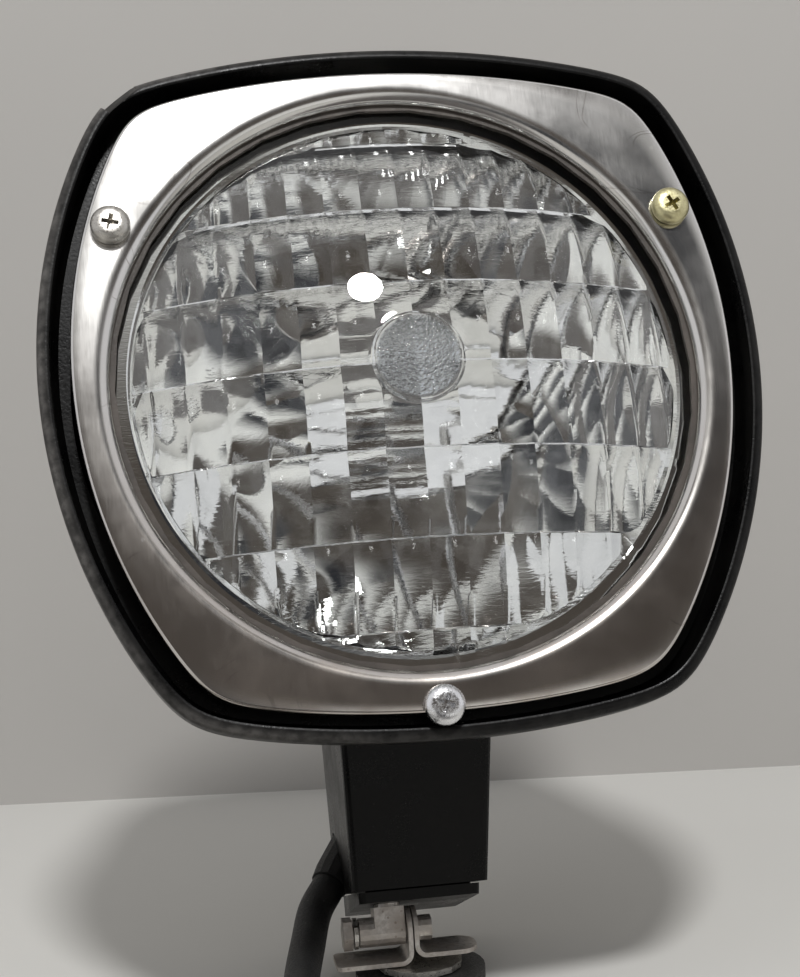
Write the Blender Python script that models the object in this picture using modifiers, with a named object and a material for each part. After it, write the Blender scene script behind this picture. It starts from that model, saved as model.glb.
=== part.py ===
"""Sealed-beam work lamp with a stainless bezel, a moulded housing and a tilting foot.

Metres, +Z up. The lamp faces -Y. World origin: centre of the foot pad's underside.
Head pieces are drawn in the lamp frame: X right, Y back along the lamp axis, Z up,
with the origin at the bezel hole's centre on the bezel's front face.
"""

import math

import bmesh
import bpy
from mathutils import Matrix, Vector

# Fits shared by every pair of pieces that touch or run in each other
FIT = 0.0003
RUNNING_FIT = 0.0003
MERGE = 0.00001

# Sealed-beam lamp: lens
LAMP_RADIUS = 0.05715
LENS_FLANGE_WIDTH = 0.00595
DOME_RISE = 0.0130
GLASS_T = 0.0032
LENS_FLANGE_T = 0.0026
FLUTE_MARGIN = 0.0016
FLUTE_PITCH = 0.0067
FLUTE_DEPTH = 0.0010
ROW_PITCH = 0.0153
ROW_STEP = 0.0009
ROW_EDGE = 0.00006
BUTTON_RADIUS = 0.0083
BUTTON_RISE = 0.0006

# Sealed-beam lamp: reflector, filament and terminals
REFLECTOR_FLANGE_WIDTH = 0.00675
REFLECTOR_FOCUS = 0.0150
REFLECTOR_T = 0.0026
REFLECTOR_FLANGE_T = 0.0024
REFLECTOR_BOSS_RADIUS = 0.0155
TERMINAL_SPREAD = 0.0095
POST_RADIUS = 0.0008
FILAMENT_SPREAD = 0.0040
FILAMENT_COIL_RADIUS = 0.0010
FILAMENT_WIRE_RADIUS = 0.00022
POST_ELBOW = 0.0080
FERRULE_RADIUS = 0.0042
FERRULE_T = 0.0030
LUG_T = 0.0008
LUG_TONGUE = 0.0100

# Bezel: a stamped plate of four arcs with a rolled-in hole and a turned-back skirt
BEZEL_SIDE_LAND = 0.0067
BEZEL_SIDE_ARC = 0.0996
BEZEL_SIDE_ARC_Z = 0.0042
BEZEL_TOP_LAND = 0.0059
BEZEL_TOP_ARC = 0.177
BEZEL_BOTTOM_LAND = 0.0076
BEZEL_BOTTOM_ARC = 0.190
CORNER_SHARPNESS = 35
BEZEL_T = 0.0008
BEZEL_SKIRT = 0.0022
BEZEL_LAP = 0.00315
ROLL_WIDTH = 0.0030
ROLL_DEPTH = 0.0020
GASKET_T = 0.0010
GASKET_WIDTH = 0.0030
SEAT_T = 0.0020
SEAT_LAP = 0.00285
SEAT_CLEARANCE = 0.0016

# Housing
RIM_REACH_SIDE = 0.0060
RIM_REACH_TOP = 0.0054
RIM_REACH_BOTTOM = 0.0047
RIM_SETBACK = 0.0005
RIM_BAND = 0.0050
RIM_STEP = 0.0012
RIM_ROUND = 0.0009
HOUSING_WALL = 0.0024
HOUSING_SHOULDER = 0.0450
HOUSING_DRAFT = 0.0034
HOUSING_DOME_INSET = 0.0330
HOUSING_DOME_SWEEP = 80.0
BACK_ROOM = 0.0150

# Bezel screws and their bosses
SCREW_CLEARANCE = 0.00335
SCREW_RADIUS = 0.00175
SCREW_HEAD_RADIUS = 0.0036
SCREW_HEAD_T = 0.0024
SCREW_LENGTH = 0.0200
SCREW_ANGLES = {"left": 150.0, "right": 30.0, "bottom": 270.0}
BOSS_RADIUS = 0.0044
BOSS_RIB_T = 0.0024
BOSS_LENGTH = 0.0180

# Neck under the housing, its plug and the wire way
NECK_DROP = 0.0004
NECK_LENGTH = 0.0280
NECK_TOP_HALF = 0.0148
NECK_BOTTOM_HALF = 0.0135
NECK_FRONT_TOP_Y = 0.0350
NECK_FRONT_BOTTOM_Y = 0.0480
NECK_BACK_TOP_Y = 0.0740
NECK_BACK_BOTTOM_Y = 0.0830
NECK_WALL = 0.0026
NECK_ROOF = 0.0030
NECK_CORNER = 0.0012
PLUG_LIP_T = 0.0019
PLUG_WEDGE = 4.0
PLUG_INSET = 0.0014
PLUG_SPIGOT = 0.0050
WIRE_HOLE_RADIUS = 0.0055
WIRE_HOLE_Y = 0.0560
WIRE_RADIUS = 0.0011
WIRE_SPREAD = 0.0026
NECK_SCREW_SPREAD = 0.0080
NECK_SCREW_Y = 0.0470
NECK_SCREW_GRIP = 0.0060
NECK_PAD_RADIUS = 0.0040
PLUG_SCREW_LENGTH = 0.0110
PLUG_SCREW_X = 0.0080
WIRE_WAY_LENGTH = 0.0170

# Small pan-head screws of the neck, plug and terminals
SMALL_SCREW_RADIUS = 0.0015
SMALL_SCREW_HEAD_RADIUS = 0.0028
SMALL_SCREW_HEAD_T = 0.0018
SCREW_POINT = 0.0008

# Tilt joint: knuckle on the head, two upright angles on the foot
HEAD_LEAN = 17.0
PIVOT_Y = 0.0570
PIVOT_DROP = 0.0051
KNUCKLE_RADIUS = 0.0029
KNUCKLE_LENGTH = 0.0091
KNUCKLE_NECK = 0.0060
SHANK_RADIUS = 0.0025
SHANK_NUT_FLATS = 0.0080
SHANK_NUT_T = 0.0040
TILT_BOLT_RADIUS = 0.0016
TILT_BOLT_FLATS = 0.0058
TILT_BOLT_HEAD_T = 0.0018
TILT_RIVET_RADIUS = 0.0025
TILT_RIVET_T = 0.0027
WASHER_T = 0.0008
TILT_WASHER_RADIUS = 0.0031

# Foot
ANGLE_T = 0.0009
ANGLE_WIDTH = 0.0090
ANGLE_BEND = 0.0016
FLANGE_LEFT = 0.0170
FLANGE_RIGHT = 0.0115
FLANGE_LEFT_CORNER = 0.0012
FLANGE_RIGHT_CORNER = 0.0036
FLANGE_RIGHT_LIFT = 0.0013
UPRIGHT_X = -0.0016
KNUCKLE_CLEARANCE = 0.0022
PAD_RADIUS = 0.0130
PAD_T = 0.0025
STUD_RADIUS = 0.0030
STUD_HEAD_RADIUS = 0.0085
STUD_HEAD_T = 0.0012
STUD_LENGTH = 0.0160
PANEL_T = 0.0030
STUD_WASHER_RADIUS = 0.0080
STUD_WASHER_T = 0.0012
STUD_NUT_FLATS = 0.0100
STUD_NUT_T = 0.0050

# Cord, in world coordinates where it lies on the mounting surface
CORD_RADIUS = 0.0035
GLAND_RADIUS = 0.0043
GLAND_TIP_RADIUS = 0.0039
GLAND_OUT = 0.0050
GLAND_IN = 0.0070
GLAND_Y = 0.0685
GLAND_RISE = 0.0055
CORD_EXIT = (-0.50, -0.70, -0.50)
CORD_BEND = ((-0.0224, -0.0025, 0.0099), (-0.0246, -0.0115, 0.0067), (-0.0262, -0.0215, 0.0045))
CORD_LYING = ((-0.0298, -0.0320), (-0.0343, -0.0425))
COIL_RADIUS = 0.0390
COIL_CENTRE = (-0.0745, -0.0820)
COIL_HALF_WIDTH = 0.0071
COIL_HEIGHT = 0.0142
COIL_LIFT = 0.0012
COIL_EDGE = 0.0028
TIE_T = 0.0008
TIE_WIDTH = 0.0060
TIE_ANGLE = 200.0
CONNECTOR_LENGTH = 0.0300
CONNECTOR_WIDTH = 0.0140
CONNECTOR_HEIGHT = 0.0090
CONNECTOR_GRIP = 0.0100
CONNECTOR_ROUND = 0.0015
PIN_RADIUS = 0.0020
PIN_LENGTH = 0.0120
PIN_SPREAD = 0.0036

# Facet counts
ROUND = 34
SMALL_ROUND = 14
OUTLINE_POINTS = 48
FLUTE_FACETS = 4

# Sizes and places worked out from the ones above, round and along the lamp axis
HOLE_RADIUS = LAMP_RADIUS - BEZEL_LAP
BEZEL_HALF_WIDTH = HOLE_RADIUS + BEZEL_SIDE_LAND
BEZEL_TOP = HOLE_RADIUS + BEZEL_TOP_LAND
BEZEL_BOTTOM = HOLE_RADIUS + BEZEL_BOTTOM_LAND
DOME_RADIUS = LAMP_RADIUS - LENS_FLANGE_WIDTH
FLUTED_RADIUS = DOME_RADIUS - FLUTE_MARGIN
REFLECTOR_MOUTH = LAMP_RADIUS - REFLECTOR_FLANGE_WIDTH
SEAT_BORE = REFLECTOR_MOUTH + SEAT_CLEARANCE
SEAT_RADIUS = LAMP_RADIUS + SEAT_LAP
SCREW_CIRCLE = LAMP_RADIUS + SCREW_CLEARANCE
GASKET_Y = ROLL_DEPTH + FIT
FLANGE_Y = GASKET_Y + GASKET_T + FIT
FLANGE_BACK_Y = FLANGE_Y + LENS_FLANGE_T
APEX_Y = FLANGE_Y - DOME_RISE
DOME_SPHERE = (DOME_RADIUS**2 + DOME_RISE**2) / (2 * DOME_RISE)
REFLECTOR_Y = FLANGE_BACK_Y + FIT
REFLECTOR_FLANGE_BACK_Y = REFLECTOR_Y + REFLECTOR_FLANGE_T
VERTEX_Y = REFLECTOR_Y + REFLECTOR_MOUTH**2 / (4 * REFLECTOR_FOCUS)
FOCUS_Y = VERTEX_Y - REFLECTOR_FOCUS
REFLECTOR_BACK_Y = VERTEX_Y + REFLECTOR_T
SEAT_Y = REFLECTOR_FLANGE_BACK_Y + FIT
BOSS_Y = SEAT_Y + SEAT_T + FIT
TERMINAL_Y = REFLECTOR_BACK_Y + FIT
LUG_Y = TERMINAL_Y + FERRULE_T + FIT
HOUSING_BACK_Y = LUG_Y + LUG_T + BACK_ROOM + HOUSING_WALL

# Places of the neck and the tilt axis in the lamp frame and in the world
NECK_TOP_Z = -(BEZEL_BOTTOM + NECK_DROP)
NECK_BOTTOM_Z = NECK_TOP_Z - NECK_LENGTH
GLAND_Z = NECK_BOTTOM_Z + GLAND_RISE
PLUG_TOP_Z = NECK_BOTTOM_Z - FIT
PLUG_BOTTOM_Z = PLUG_TOP_Z - PLUG_LIP_T
PLUG_SLOPE = math.tan(math.radians(PLUG_WEDGE))
PLUG_PIVOT_Z = PLUG_BOTTOM_Z - PLUG_SLOPE * (PIVOT_Y - NECK_FRONT_BOTTOM_Y)
PIVOT_Z = PLUG_PIVOT_Z - PIVOT_DROP
STUD_HEAD_Z = PAD_T + FIT
FOOT_Z = STUD_HEAD_Z + STUD_HEAD_T + FIT
FLANGE_TOP_Z = FOOT_Z + ANGLE_T
PIVOT_HEIGHT = FLANGE_TOP_Z + KNUCKLE_CLEARANCE + KNUCKLE_RADIUS
UPRIGHT_RADIUS = ANGLE_WIDTH / 2
UPRIGHT_REACH = FIT / 2 + ANGLE_T
KNUCKLE_RIGHT = UPRIGHT_X - UPRIGHT_REACH - FIT
KNUCKLE_LEFT = KNUCKLE_RIGHT - KNUCKLE_LENGTH
SHANK_X = KNUCKLE_RIGHT - KNUCKLE_NECK / 2

COLOURS = {
    "black_plastic": ((0.012, 0.012, 0.013), 0.28, 0.0),
    "stainless": ((0.60, 0.58, 0.55), 0.32, 1.0),
    "zinc": ((0.62, 0.61, 0.60), 0.35, 1.0),
    "chromate": ((0.66, 0.60, 0.36), 0.40, 1.0),
    "bright_steel": ((0.78, 0.78, 0.78), 0.25, 1.0),
    "glass": ((0.92, 0.94, 0.93), 0.03, 0.0),
    "mirror": ((0.88, 0.88, 0.88), 0.06, 1.0),
    "tungsten": ((0.30, 0.29, 0.28), 0.45, 1.0),
    "brass": ((0.70, 0.52, 0.24), 0.35, 1.0),
    "rubber": ((0.020, 0.020, 0.020), 0.65, 0.0),
    "foot_steel": ((0.42, 0.34, 0.29), 0.50, 1.0),
    "red_wire": ((0.45, 0.03, 0.03), 0.45, 0.0),
}


def clear_scene():
    for old in list(bpy.data.objects):
        bpy.data.objects.remove(old, do_unlink=True)


def collection(name):
    made = bpy.data.collections.new(name)
    bpy.context.scene.collection.children.link(made)
    return made


def material(name):
    found = bpy.data.materials.get(name)
    if found:
        return found
    colour, roughness, metallic = COLOURS[name]
    made = bpy.data.materials.new(name)
    made.use_nodes = True
    shader = made.node_tree.nodes["Principled BSDF"]
    shader.inputs["Base Color"].default_value = (*colour, 1.0)
    shader.inputs["Roughness"].default_value = roughness
    shader.inputs["Metallic"].default_value = metallic
    return made


clear_scene()
PARTS = collection("work_lamp")
CUTTERS = collection("cutters")


def add_object(name, data, finish=None, parent=None):
    """Links a new object; without a finish it is a cutter and isn't part of the lamp."""
    made = bpy.data.objects.new(name, data)
    if finish:
        PARTS.objects.link(made)
        data.materials.append(material(finish))
    else:
        CUTTERS.objects.link(made)
        made.hide_render = True
        made.display_type = "WIRE"
    made.parent = parent
    return made


def add_empty(name, parent=None):
    made = bpy.data.objects.new(name, None)
    PARTS.objects.link(made)
    made.parent = parent
    return made


def mesh_object(name, shape, finish=None, parent=None):
    """Turns a bmesh into an object with merged points and outward faces."""
    bmesh.ops.remove_doubles(shape, verts=shape.verts, dist=MERGE)
    bmesh.ops.recalc_face_normals(shape, faces=shape.faces)
    if shape.calc_volume(signed=True) < 0:
        bmesh.ops.reverse_faces(shape, faces=shape.faces)
    mesh = bpy.data.meshes.new(name)
    shape.to_mesh(mesh)
    shape.free()
    return add_object(name, mesh, finish, parent)


def smooth(part, angle=35.0):
    part.data.shade_smooth()
    part.data.set_sharp_from_angle(angle=math.radians(angle))


def loft_shape(rings):
    """A closed bmesh through rings of equal length, capped at both ends."""
    shape = bmesh.new()
    rows = [[shape.verts.new(point) for point in ring] for ring in rings]
    count = len(rows[0])
    for near, far in zip(rows, rows[1:]):
        for i in range(count):
            j = (i + 1) % count
            shape.faces.new((near[i], near[j], far[j], far[i]))
    shape.faces.new(rows[0])
    shape.faces.new(rows[-1])
    return shape


def turned(name, profile, finish=None, parent=None, segments=ROUND):
    """A profile of (radius, height) pairs turned about Z with a Screw modifier.

    A profile that stays off the axis is a closed ring section; one whose ends lie on the
    axis is an open chain. Either runs down its outer side.
    """
    looped = list(zip(profile, profile[1:] + profile[:1]))
    if sum(a[0] * b[1] - b[0] * a[1] for a, b in looped) > 0:
        profile = profile[::-1]
    edges = [(i, i + 1) for i in range(len(profile) - 1)]
    if profile[0][0] > 0.0:
        edges.append((len(profile) - 1, 0))
    mesh = bpy.data.meshes.new(name)
    mesh.from_pydata([(radius, 0.0, height) for radius, height in profile], edges, [])
    part = add_object(name, mesh, finish, parent)
    screw = part.modifiers.new("turn", "SCREW")
    screw.steps = segments
    screw.render_steps = segments
    screw.use_merge_vertices = True
    screw.merge_threshold = MERGE
    return part


def extruded(name, points, depth, finish=None, parent=None):
    """A flat outline in X and Y, thickened equally to both sides, as a mesh."""
    curve = bpy.data.curves.new(name + "_outline", "CURVE")
    curve.dimensions = "2D"
    curve.fill_mode = "BOTH"
    curve.extrude = depth / 2
    spline = curve.splines.new("POLY")
    spline.points.add(len(points) - 1)
    spline.use_cyclic_u = True
    for place, (x, y) in zip(spline.points, points):
        place.co = (x, y, 0.0, 1.0)
    flat = bpy.data.objects.new(name + "_outline", curve)
    bpy.context.scene.collection.objects.link(flat)
    ready = flat.evaluated_get(bpy.context.evaluated_depsgraph_get())
    shape = bmesh.new()
    shape.from_mesh(bpy.data.meshes.new_from_object(ready))
    bpy.data.objects.remove(flat, do_unlink=True)
    return mesh_object(name, shape, finish, parent)


def face_lamp(part, near_y, far_y):
    """Stands an extruded outline up, facing along the lamp axis between two distances."""
    part.rotation_euler.x = math.radians(90.0)
    part.location.y = (near_y + far_y) / 2


ALONG_LAMP = (math.radians(-90.0), 0.0, 0.0)
ALONG_X = (0.0, math.radians(90.0), 0.0)


def lamp_turned(name, profile, finish=None, parent=None, segments=ROUND):
    """A turned piece whose heights are distances back along the lamp axis."""
    part = turned(name, profile, finish, parent, segments)
    part.rotation_euler = ALONG_LAMP
    return part


def cylinder_shape(radius, length, segments=SMALL_ROUND, far_radius=None):
    """A closed cylinder or cone from the origin along +Z."""
    shape = bmesh.new()
    bmesh.ops.create_cone(
        shape,
        cap_ends=True,
        segments=segments,
        radius1=radius,
        radius2=radius if far_radius is None else far_radius,
        depth=length,
        matrix=Matrix.Translation((0.0, 0.0, length / 2)),
    )
    return shape


def cylinder(name, radius, length, finish=None, parent=None, segments=SMALL_ROUND):
    part = mesh_object(name, cylinder_shape(radius, length, segments), finish, parent)
    if finish:
        smooth(part)
    return part


def box(name, low, high, finish=None, parent=None):
    shape = bmesh.new()
    size = [b - a for a, b in zip(low, high)]
    middle = [(a + b) / 2 for a, b in zip(low, high)]
    place = Matrix.Translation(middle) @ Matrix.Diagonal((*size, 1.0))
    bmesh.ops.create_cube(shape, size=1.0, matrix=place)
    return mesh_object(name, shape, finish, parent)


def boolean(part, tool, operation="DIFFERENCE"):
    cut = part.modifiers.new(operation.lower() + "_" + tool.name, "BOOLEAN")
    cut.operation = operation
    cut.object = tool


def bevel(part, width, segments=1, angle=40.0):
    rounded = part.modifiers.new("round_edges", "BEVEL")
    rounded.width = width
    rounded.segments = segments
    rounded.limit_method = "ANGLE"
    rounded.angle_limit = math.radians(angle)


def tube(name, points, radius, finish, parent=None, resolution=2):
    curve = bpy.data.curves.new(name, "CURVE")
    curve.dimensions = "3D"
    curve.bevel_depth = radius
    curve.bevel_resolution = resolution
    curve.use_fill_caps = True
    spline = curve.splines.new("POLY")
    spline.points.add(len(points) - 1)
    for place, point in zip(spline.points, points):
        place.co = (*point, 1.0)
    return add_object(name, curve, finish, parent)


def smooth_path(route, per_span):
    """Points on a smooth curve through the route's own points."""
    route = [Vector(point) for point in route]
    ends = [2 * route[0] - route[1]] + route + [2 * route[-1] - route[-2]]
    points = []
    for before, start, end, after in zip(ends, ends[1:], ends[2:], ends[3:]):
        for step in range(per_span):
            t = step / per_span
            points.append(
                0.5
                * (
                    2 * start
                    + (end - before) * t
                    + (2 * before - 5 * start + 4 * end - after) * t**2
                    + (3 * start - before - 3 * end + after) * t**3
                )
            )
    return points + [route[-1]]


def arc_reach(angle, centre_x, centre_z, radius):
    """Distance from the lamp axis to a big arc, looking out at the given angle."""
    along = math.cos(angle) * centre_x + math.sin(angle) * centre_z
    return along + math.sqrt(along**2 - centre_x**2 - centre_z**2 + radius**2)


def four_arc_radius(angle, side, top, bottom):
    """Outline of four big arcs with softly rounded corners, grown on each side."""
    half = BEZEL_HALF_WIDTH + side
    side_radius = BEZEL_SIDE_ARC + side
    top_radius = BEZEL_TOP_ARC + top
    bottom_radius = BEZEL_BOTTOM_ARC + bottom
    reaches = [
        arc_reach(angle, half - side_radius, BEZEL_SIDE_ARC_Z, side_radius),
        arc_reach(angle, side_radius - half, BEZEL_SIDE_ARC_Z, side_radius),
        arc_reach(angle, 0.0, BEZEL_TOP + top - top_radius, top_radius),
        arc_reach(angle, 0.0, bottom_radius - BEZEL_BOTTOM - bottom, bottom_radius),
    ]
    nearest = min(reaches)
    total = sum((nearest / reach) ** CORNER_SHARPNESS for reach in reaches)
    return nearest * total ** (-1.0 / CORNER_SHARPNESS)


def outline(side, top, bottom):
    """Points of a grown outline in X and Z."""
    points = []
    for i in range(OUTLINE_POINTS):
        angle = 2 * math.pi * i / OUTLINE_POINTS
        radius = four_arc_radius(angle, side, top, bottom)
        points.append((radius * math.cos(angle), radius * math.sin(angle)))
    return points


def bezel_outline(grow):
    return outline(grow, grow, grow)


def rim_ring(grow, y):
    """The rim's outline, grown, at a distance back along the lamp axis."""
    points = outline(RIM_REACH_SIDE + grow, RIM_REACH_TOP + grow, RIM_REACH_BOTTOM + grow)
    return [(x, y, z) for x, z in points]


def dome_y(radius):
    """Front surface of the lens at a radius from the lamp axis."""
    return APEX_Y + DOME_SPHERE - math.sqrt(max(DOME_SPHERE**2 - radius**2, 0.0))


def screw_place(side, y):
    angle = math.radians(SCREW_ANGLES[side])
    return Vector((SCREW_CIRCLE * math.cos(angle), y, SCREW_CIRCLE * math.sin(angle)))


def pan_screw(name, radius, length, head_radius, head_t, finish, parent):
    """Pan-head screw along +Z: the head's underside is at 0 and the shank runs up."""
    profile = [
        (0.0, length),
        (radius - SCREW_POINT, length),
        (radius, length - SCREW_POINT),
        (radius, 0.0),
        (head_radius, 0.0),
        (head_radius, -head_t / 2),
        (head_radius - head_t / 3, -head_t * 5 / 6),
        (head_radius / 2, -head_t),
        (0.0, -head_t),
    ]
    return turned(name, profile, finish, parent, SMALL_ROUND)


def small_screw(name, grip, finish):
    """One of the lamp's small pan-head screws."""
    return pan_screw(
        name, SMALL_SCREW_RADIUS, grip, SMALL_SCREW_HEAD_RADIUS, SMALL_SCREW_HEAD_T, finish, LAMP_FRAME
    )


def hexagon(name, flats, length, finish, parent):
    """Hexagonal bar from the origin along +Z."""
    return mesh_object(name, cylinder_shape(flats / math.sqrt(3.0), length, 6), finish, parent)


def hex_nut(name, flats, length, bore, finish, parent):
    nut = hexagon(name, flats, length, finish, parent)
    hole = cylinder(name + "_bore", bore, 3 * length, parent=nut)
    hole.location.z = -length
    boolean(nut, hole)
    return nut


def washer_profile(bore, radius, low, high):
    return [(radius, high), (radius, low), (bore, low), (bore, high)]


# Frames: the tilt axis in the world, and the lamp frame that leans with it
TILT_AXIS = add_empty("tilt_axis")
TILT_AXIS.location = (0.0, 0.0, PIVOT_HEIGHT)
TILT_AXIS.rotation_euler = (math.radians(-HEAD_LEAN), 0.0, 0.0)
LAMP_FRAME = add_empty("lamp_frame", TILT_AXIS)
LAMP_FRAME.location = (0.0, -PIVOT_Y, -PIVOT_Z)


def lamp_to_world(point):
    """World place of a point in the lamp frame."""
    lean = Matrix.Rotation(math.radians(-HEAD_LEAN), 3, "X")
    return lean @ (Vector(point) - Vector((0.0, PIVOT_Y, PIVOT_Z))) + Vector((0.0, 0.0, PIVOT_HEIGHT))


def world_to_lamp(point):
    lean = Matrix.Rotation(math.radians(HEAD_LEAN), 3, "X")
    return lean @ (Vector(point) - Vector((0.0, 0.0, PIVOT_HEIGHT))) + Vector((0.0, PIVOT_Y, PIVOT_Z))


# Lens: a domed glass disc whose hollow back carries rows of pillow flutes
def fluted_back(x, z):
    """Back surface of the lens: an even wall, grooved between flutes and stepped by row."""
    wall = dome_y(math.hypot(x, z)) + GLASS_T
    across = (x / FLUTE_PITCH) % 1.0 * 2 - 1
    return wall - FLUTE_DEPTH * across**2


def flute_columns():
    count = math.ceil(FLUTED_RADIUS / FLUTE_PITCH)
    steps = range(-count * FLUTE_FACETS, count * FLUTE_FACETS + 1)
    return [step * FLUTE_PITCH / FLUTE_FACETS for step in steps]


def flute_rows():
    """Pairs of height and step share: each row deepens towards its lower edge."""
    count = math.ceil(FLUTED_RADIUS / ROW_PITCH)
    rows = []
    for row in range(-count, count):
        low = row * ROW_PITCH
        for height in (ROW_EDGE, ROW_PITCH / 2, ROW_PITCH - ROW_EDGE):
            rows.append((low + height, 1.0 - height / ROW_PITCH))
    return rows


def make_flute_cutter():
    shape = bmesh.new()
    back = REFLECTOR_Y + LENS_FLANGE_T
    columns = flute_columns()
    grid = []
    for z, share in flute_rows():
        front = []
        for x in columns:
            y = min(fluted_back(x, z) - ROW_STEP * share, back - FIT)
            front.append(shape.verts.new((x, y, z)))
        ends = [shape.verts.new((x, back, z)) for x in (columns[-1], columns[0])]
        grid.append(front + ends)
    count = len(grid[0])
    for near, far in zip(grid, grid[1:]):
        for i in range(count):
            j = (i + 1) % count
            shape.faces.new((near[i], near[j], far[j], far[i]))
    shape.faces.new(grid[0])
    shape.faces.new(grid[-1])
    cutter = mesh_object("flute_cutter", shape, parent=LAMP_FRAME)
    limit = lamp_turned(
        "flute_limit",
        [(0.0, back + FIT), (FLUTED_RADIUS, back + FIT), (FLUTED_RADIUS, APEX_Y), (0.0, APEX_Y)],
        parent=LAMP_FRAME,
    )
    boolean(cutter, limit, "INTERSECT")
    return cutter


def make_lens():
    steps = 8
    dome = [(DOME_RADIUS * i / steps, dome_y(DOME_RADIUS * i / steps)) for i in range(steps, 0, -1)]
    dome = [point for point in dome if point[0] > BUTTON_RADIUS]
    button = [
        (BUTTON_RADIUS, dome_y(BUTTON_RADIUS)),
        (BUTTON_RADIUS - BUTTON_RISE, dome_y(BUTTON_RADIUS) - BUTTON_RISE),
        (0.0, APEX_Y - BUTTON_RISE),
    ]
    edge = [
        (0.0, FLANGE_BACK_Y),
        (LAMP_RADIUS, FLANGE_BACK_Y),
        (LAMP_RADIUS, FLANGE_Y + BEZEL_T),
        (LAMP_RADIUS - BEZEL_T, FLANGE_Y),
    ]
    lens = lamp_turned("lens", edge + dome + button, "glass", LAMP_FRAME)
    boolean(lens, make_flute_cutter())


# Reflector, filament and terminals of the sealed beam
def parabola_y(radius):
    return VERTEX_Y - radius**2 / (4 * REFLECTOR_FOCUS)


def make_reflector():
    steps = 8
    radii = [REFLECTOR_MOUTH * i / steps for i in range(steps + 1)]
    inner = [(radius, parabola_y(radius)) for radius in radii]
    outer = []
    for radius, y in reversed(inner):
        slope = math.atan2(radius, 2 * REFLECTOR_FOCUS)
        reach = radius + REFLECTOR_T * math.sin(slope)
        back = y + REFLECTOR_T * math.cos(slope)
        if reach > REFLECTOR_BOSS_RADIUS and back > REFLECTOR_FLANGE_BACK_Y:
            outer.append((reach, back))
    profile = (
        [(0.0, REFLECTOR_BACK_Y), (REFLECTOR_BOSS_RADIUS, REFLECTOR_BACK_Y)]
        + outer[::-1]
        + [
            (outer[0][0], REFLECTOR_FLANGE_BACK_Y),
            (LAMP_RADIUS, REFLECTOR_FLANGE_BACK_Y),
            (LAMP_RADIUS, REFLECTOR_Y),
        ]
        + inner[::-1]
    )
    reflector = lamp_turned("reflector", profile, "mirror", LAMP_FRAME)
    for side, sign in (("left", -1), ("right", 1)):
        hole = cylinder("post_hole_" + side, POST_RADIUS + FIT, REFLECTOR_BACK_Y, parent=LAMP_FRAME)
        hole.rotation_euler = ALONG_LAMP
        hole.location = (sign * TERMINAL_SPREAD, FOCUS_Y, 0.0)
        boolean(reflector, hole)


def make_filament():
    turns = 5
    points_per_turn = 6
    length = 2 * (FILAMENT_SPREAD - POST_RADIUS - FIT)
    points = []
    for i in range(turns * points_per_turn + 1):
        angle = 2 * math.pi * i / points_per_turn
        along = -length / 2 + length * i / (turns * points_per_turn)
        rise = FILAMENT_COIL_RADIUS * math.sin(angle)
        points.append((along, FOCUS_Y + FILAMENT_COIL_RADIUS * math.cos(angle), rise))
    tube("filament", points, FILAMENT_WIRE_RADIUS, "tungsten", LAMP_FRAME, 1)
    for side, sign in (("left", -1), ("right", 1)):
        foot = sign * TERMINAL_SPREAD
        tip = sign * FILAMENT_SPREAD
        route = [
            (foot, REFLECTOR_BACK_Y, 0.0),
            (foot, FOCUS_Y + POST_ELBOW, 0.0),
            (tip, FOCUS_Y + FILAMENT_COIL_RADIUS, 0.0),
            (tip, FOCUS_Y - 2 * FILAMENT_COIL_RADIUS, 0.0),
        ]
        tube("filament_post_" + side, route, POST_RADIUS, "bright_steel", LAMP_FRAME, 1)


def make_terminals():
    bore = SMALL_SCREW_RADIUS + FIT
    for side, sign in (("left", -1), ("right", 1)):
        x = sign * TERMINAL_SPREAD
        ferrule = lamp_turned(
            "terminal_" + side,
            washer_profile(bore, FERRULE_RADIUS, TERMINAL_Y, TERMINAL_Y + FERRULE_T),
            "brass",
            LAMP_FRAME,
            SMALL_ROUND,
        )
        ferrule.location.x = x
        screw = small_screw("terminal_screw_" + side, FERRULE_T + LUG_T + FIT, "brass")
        screw.rotation_euler = (math.radians(90.0), 0.0, 0.0)
        screw.location = (x, LUG_Y + LUG_T + FIT, 0.0)
        lug = lamp_turned(
            "wire_lug_" + side,
            washer_profile(bore, FERRULE_RADIUS, LUG_Y, LUG_Y + LUG_T),
            "zinc",
            LAMP_FRAME,
            SMALL_ROUND,
        )
        lug.location.x = x
        tongue = box(
            "lug_tongue_" + side,
            (x - 2 * WIRE_RADIUS, LUG_Y, -LUG_TONGUE),
            (x + 2 * WIRE_RADIUS, LUG_Y + LUG_T, -bore - LUG_T),
            parent=LAMP_FRAME,
        )
        boolean(lug, tongue, "UNION")


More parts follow.
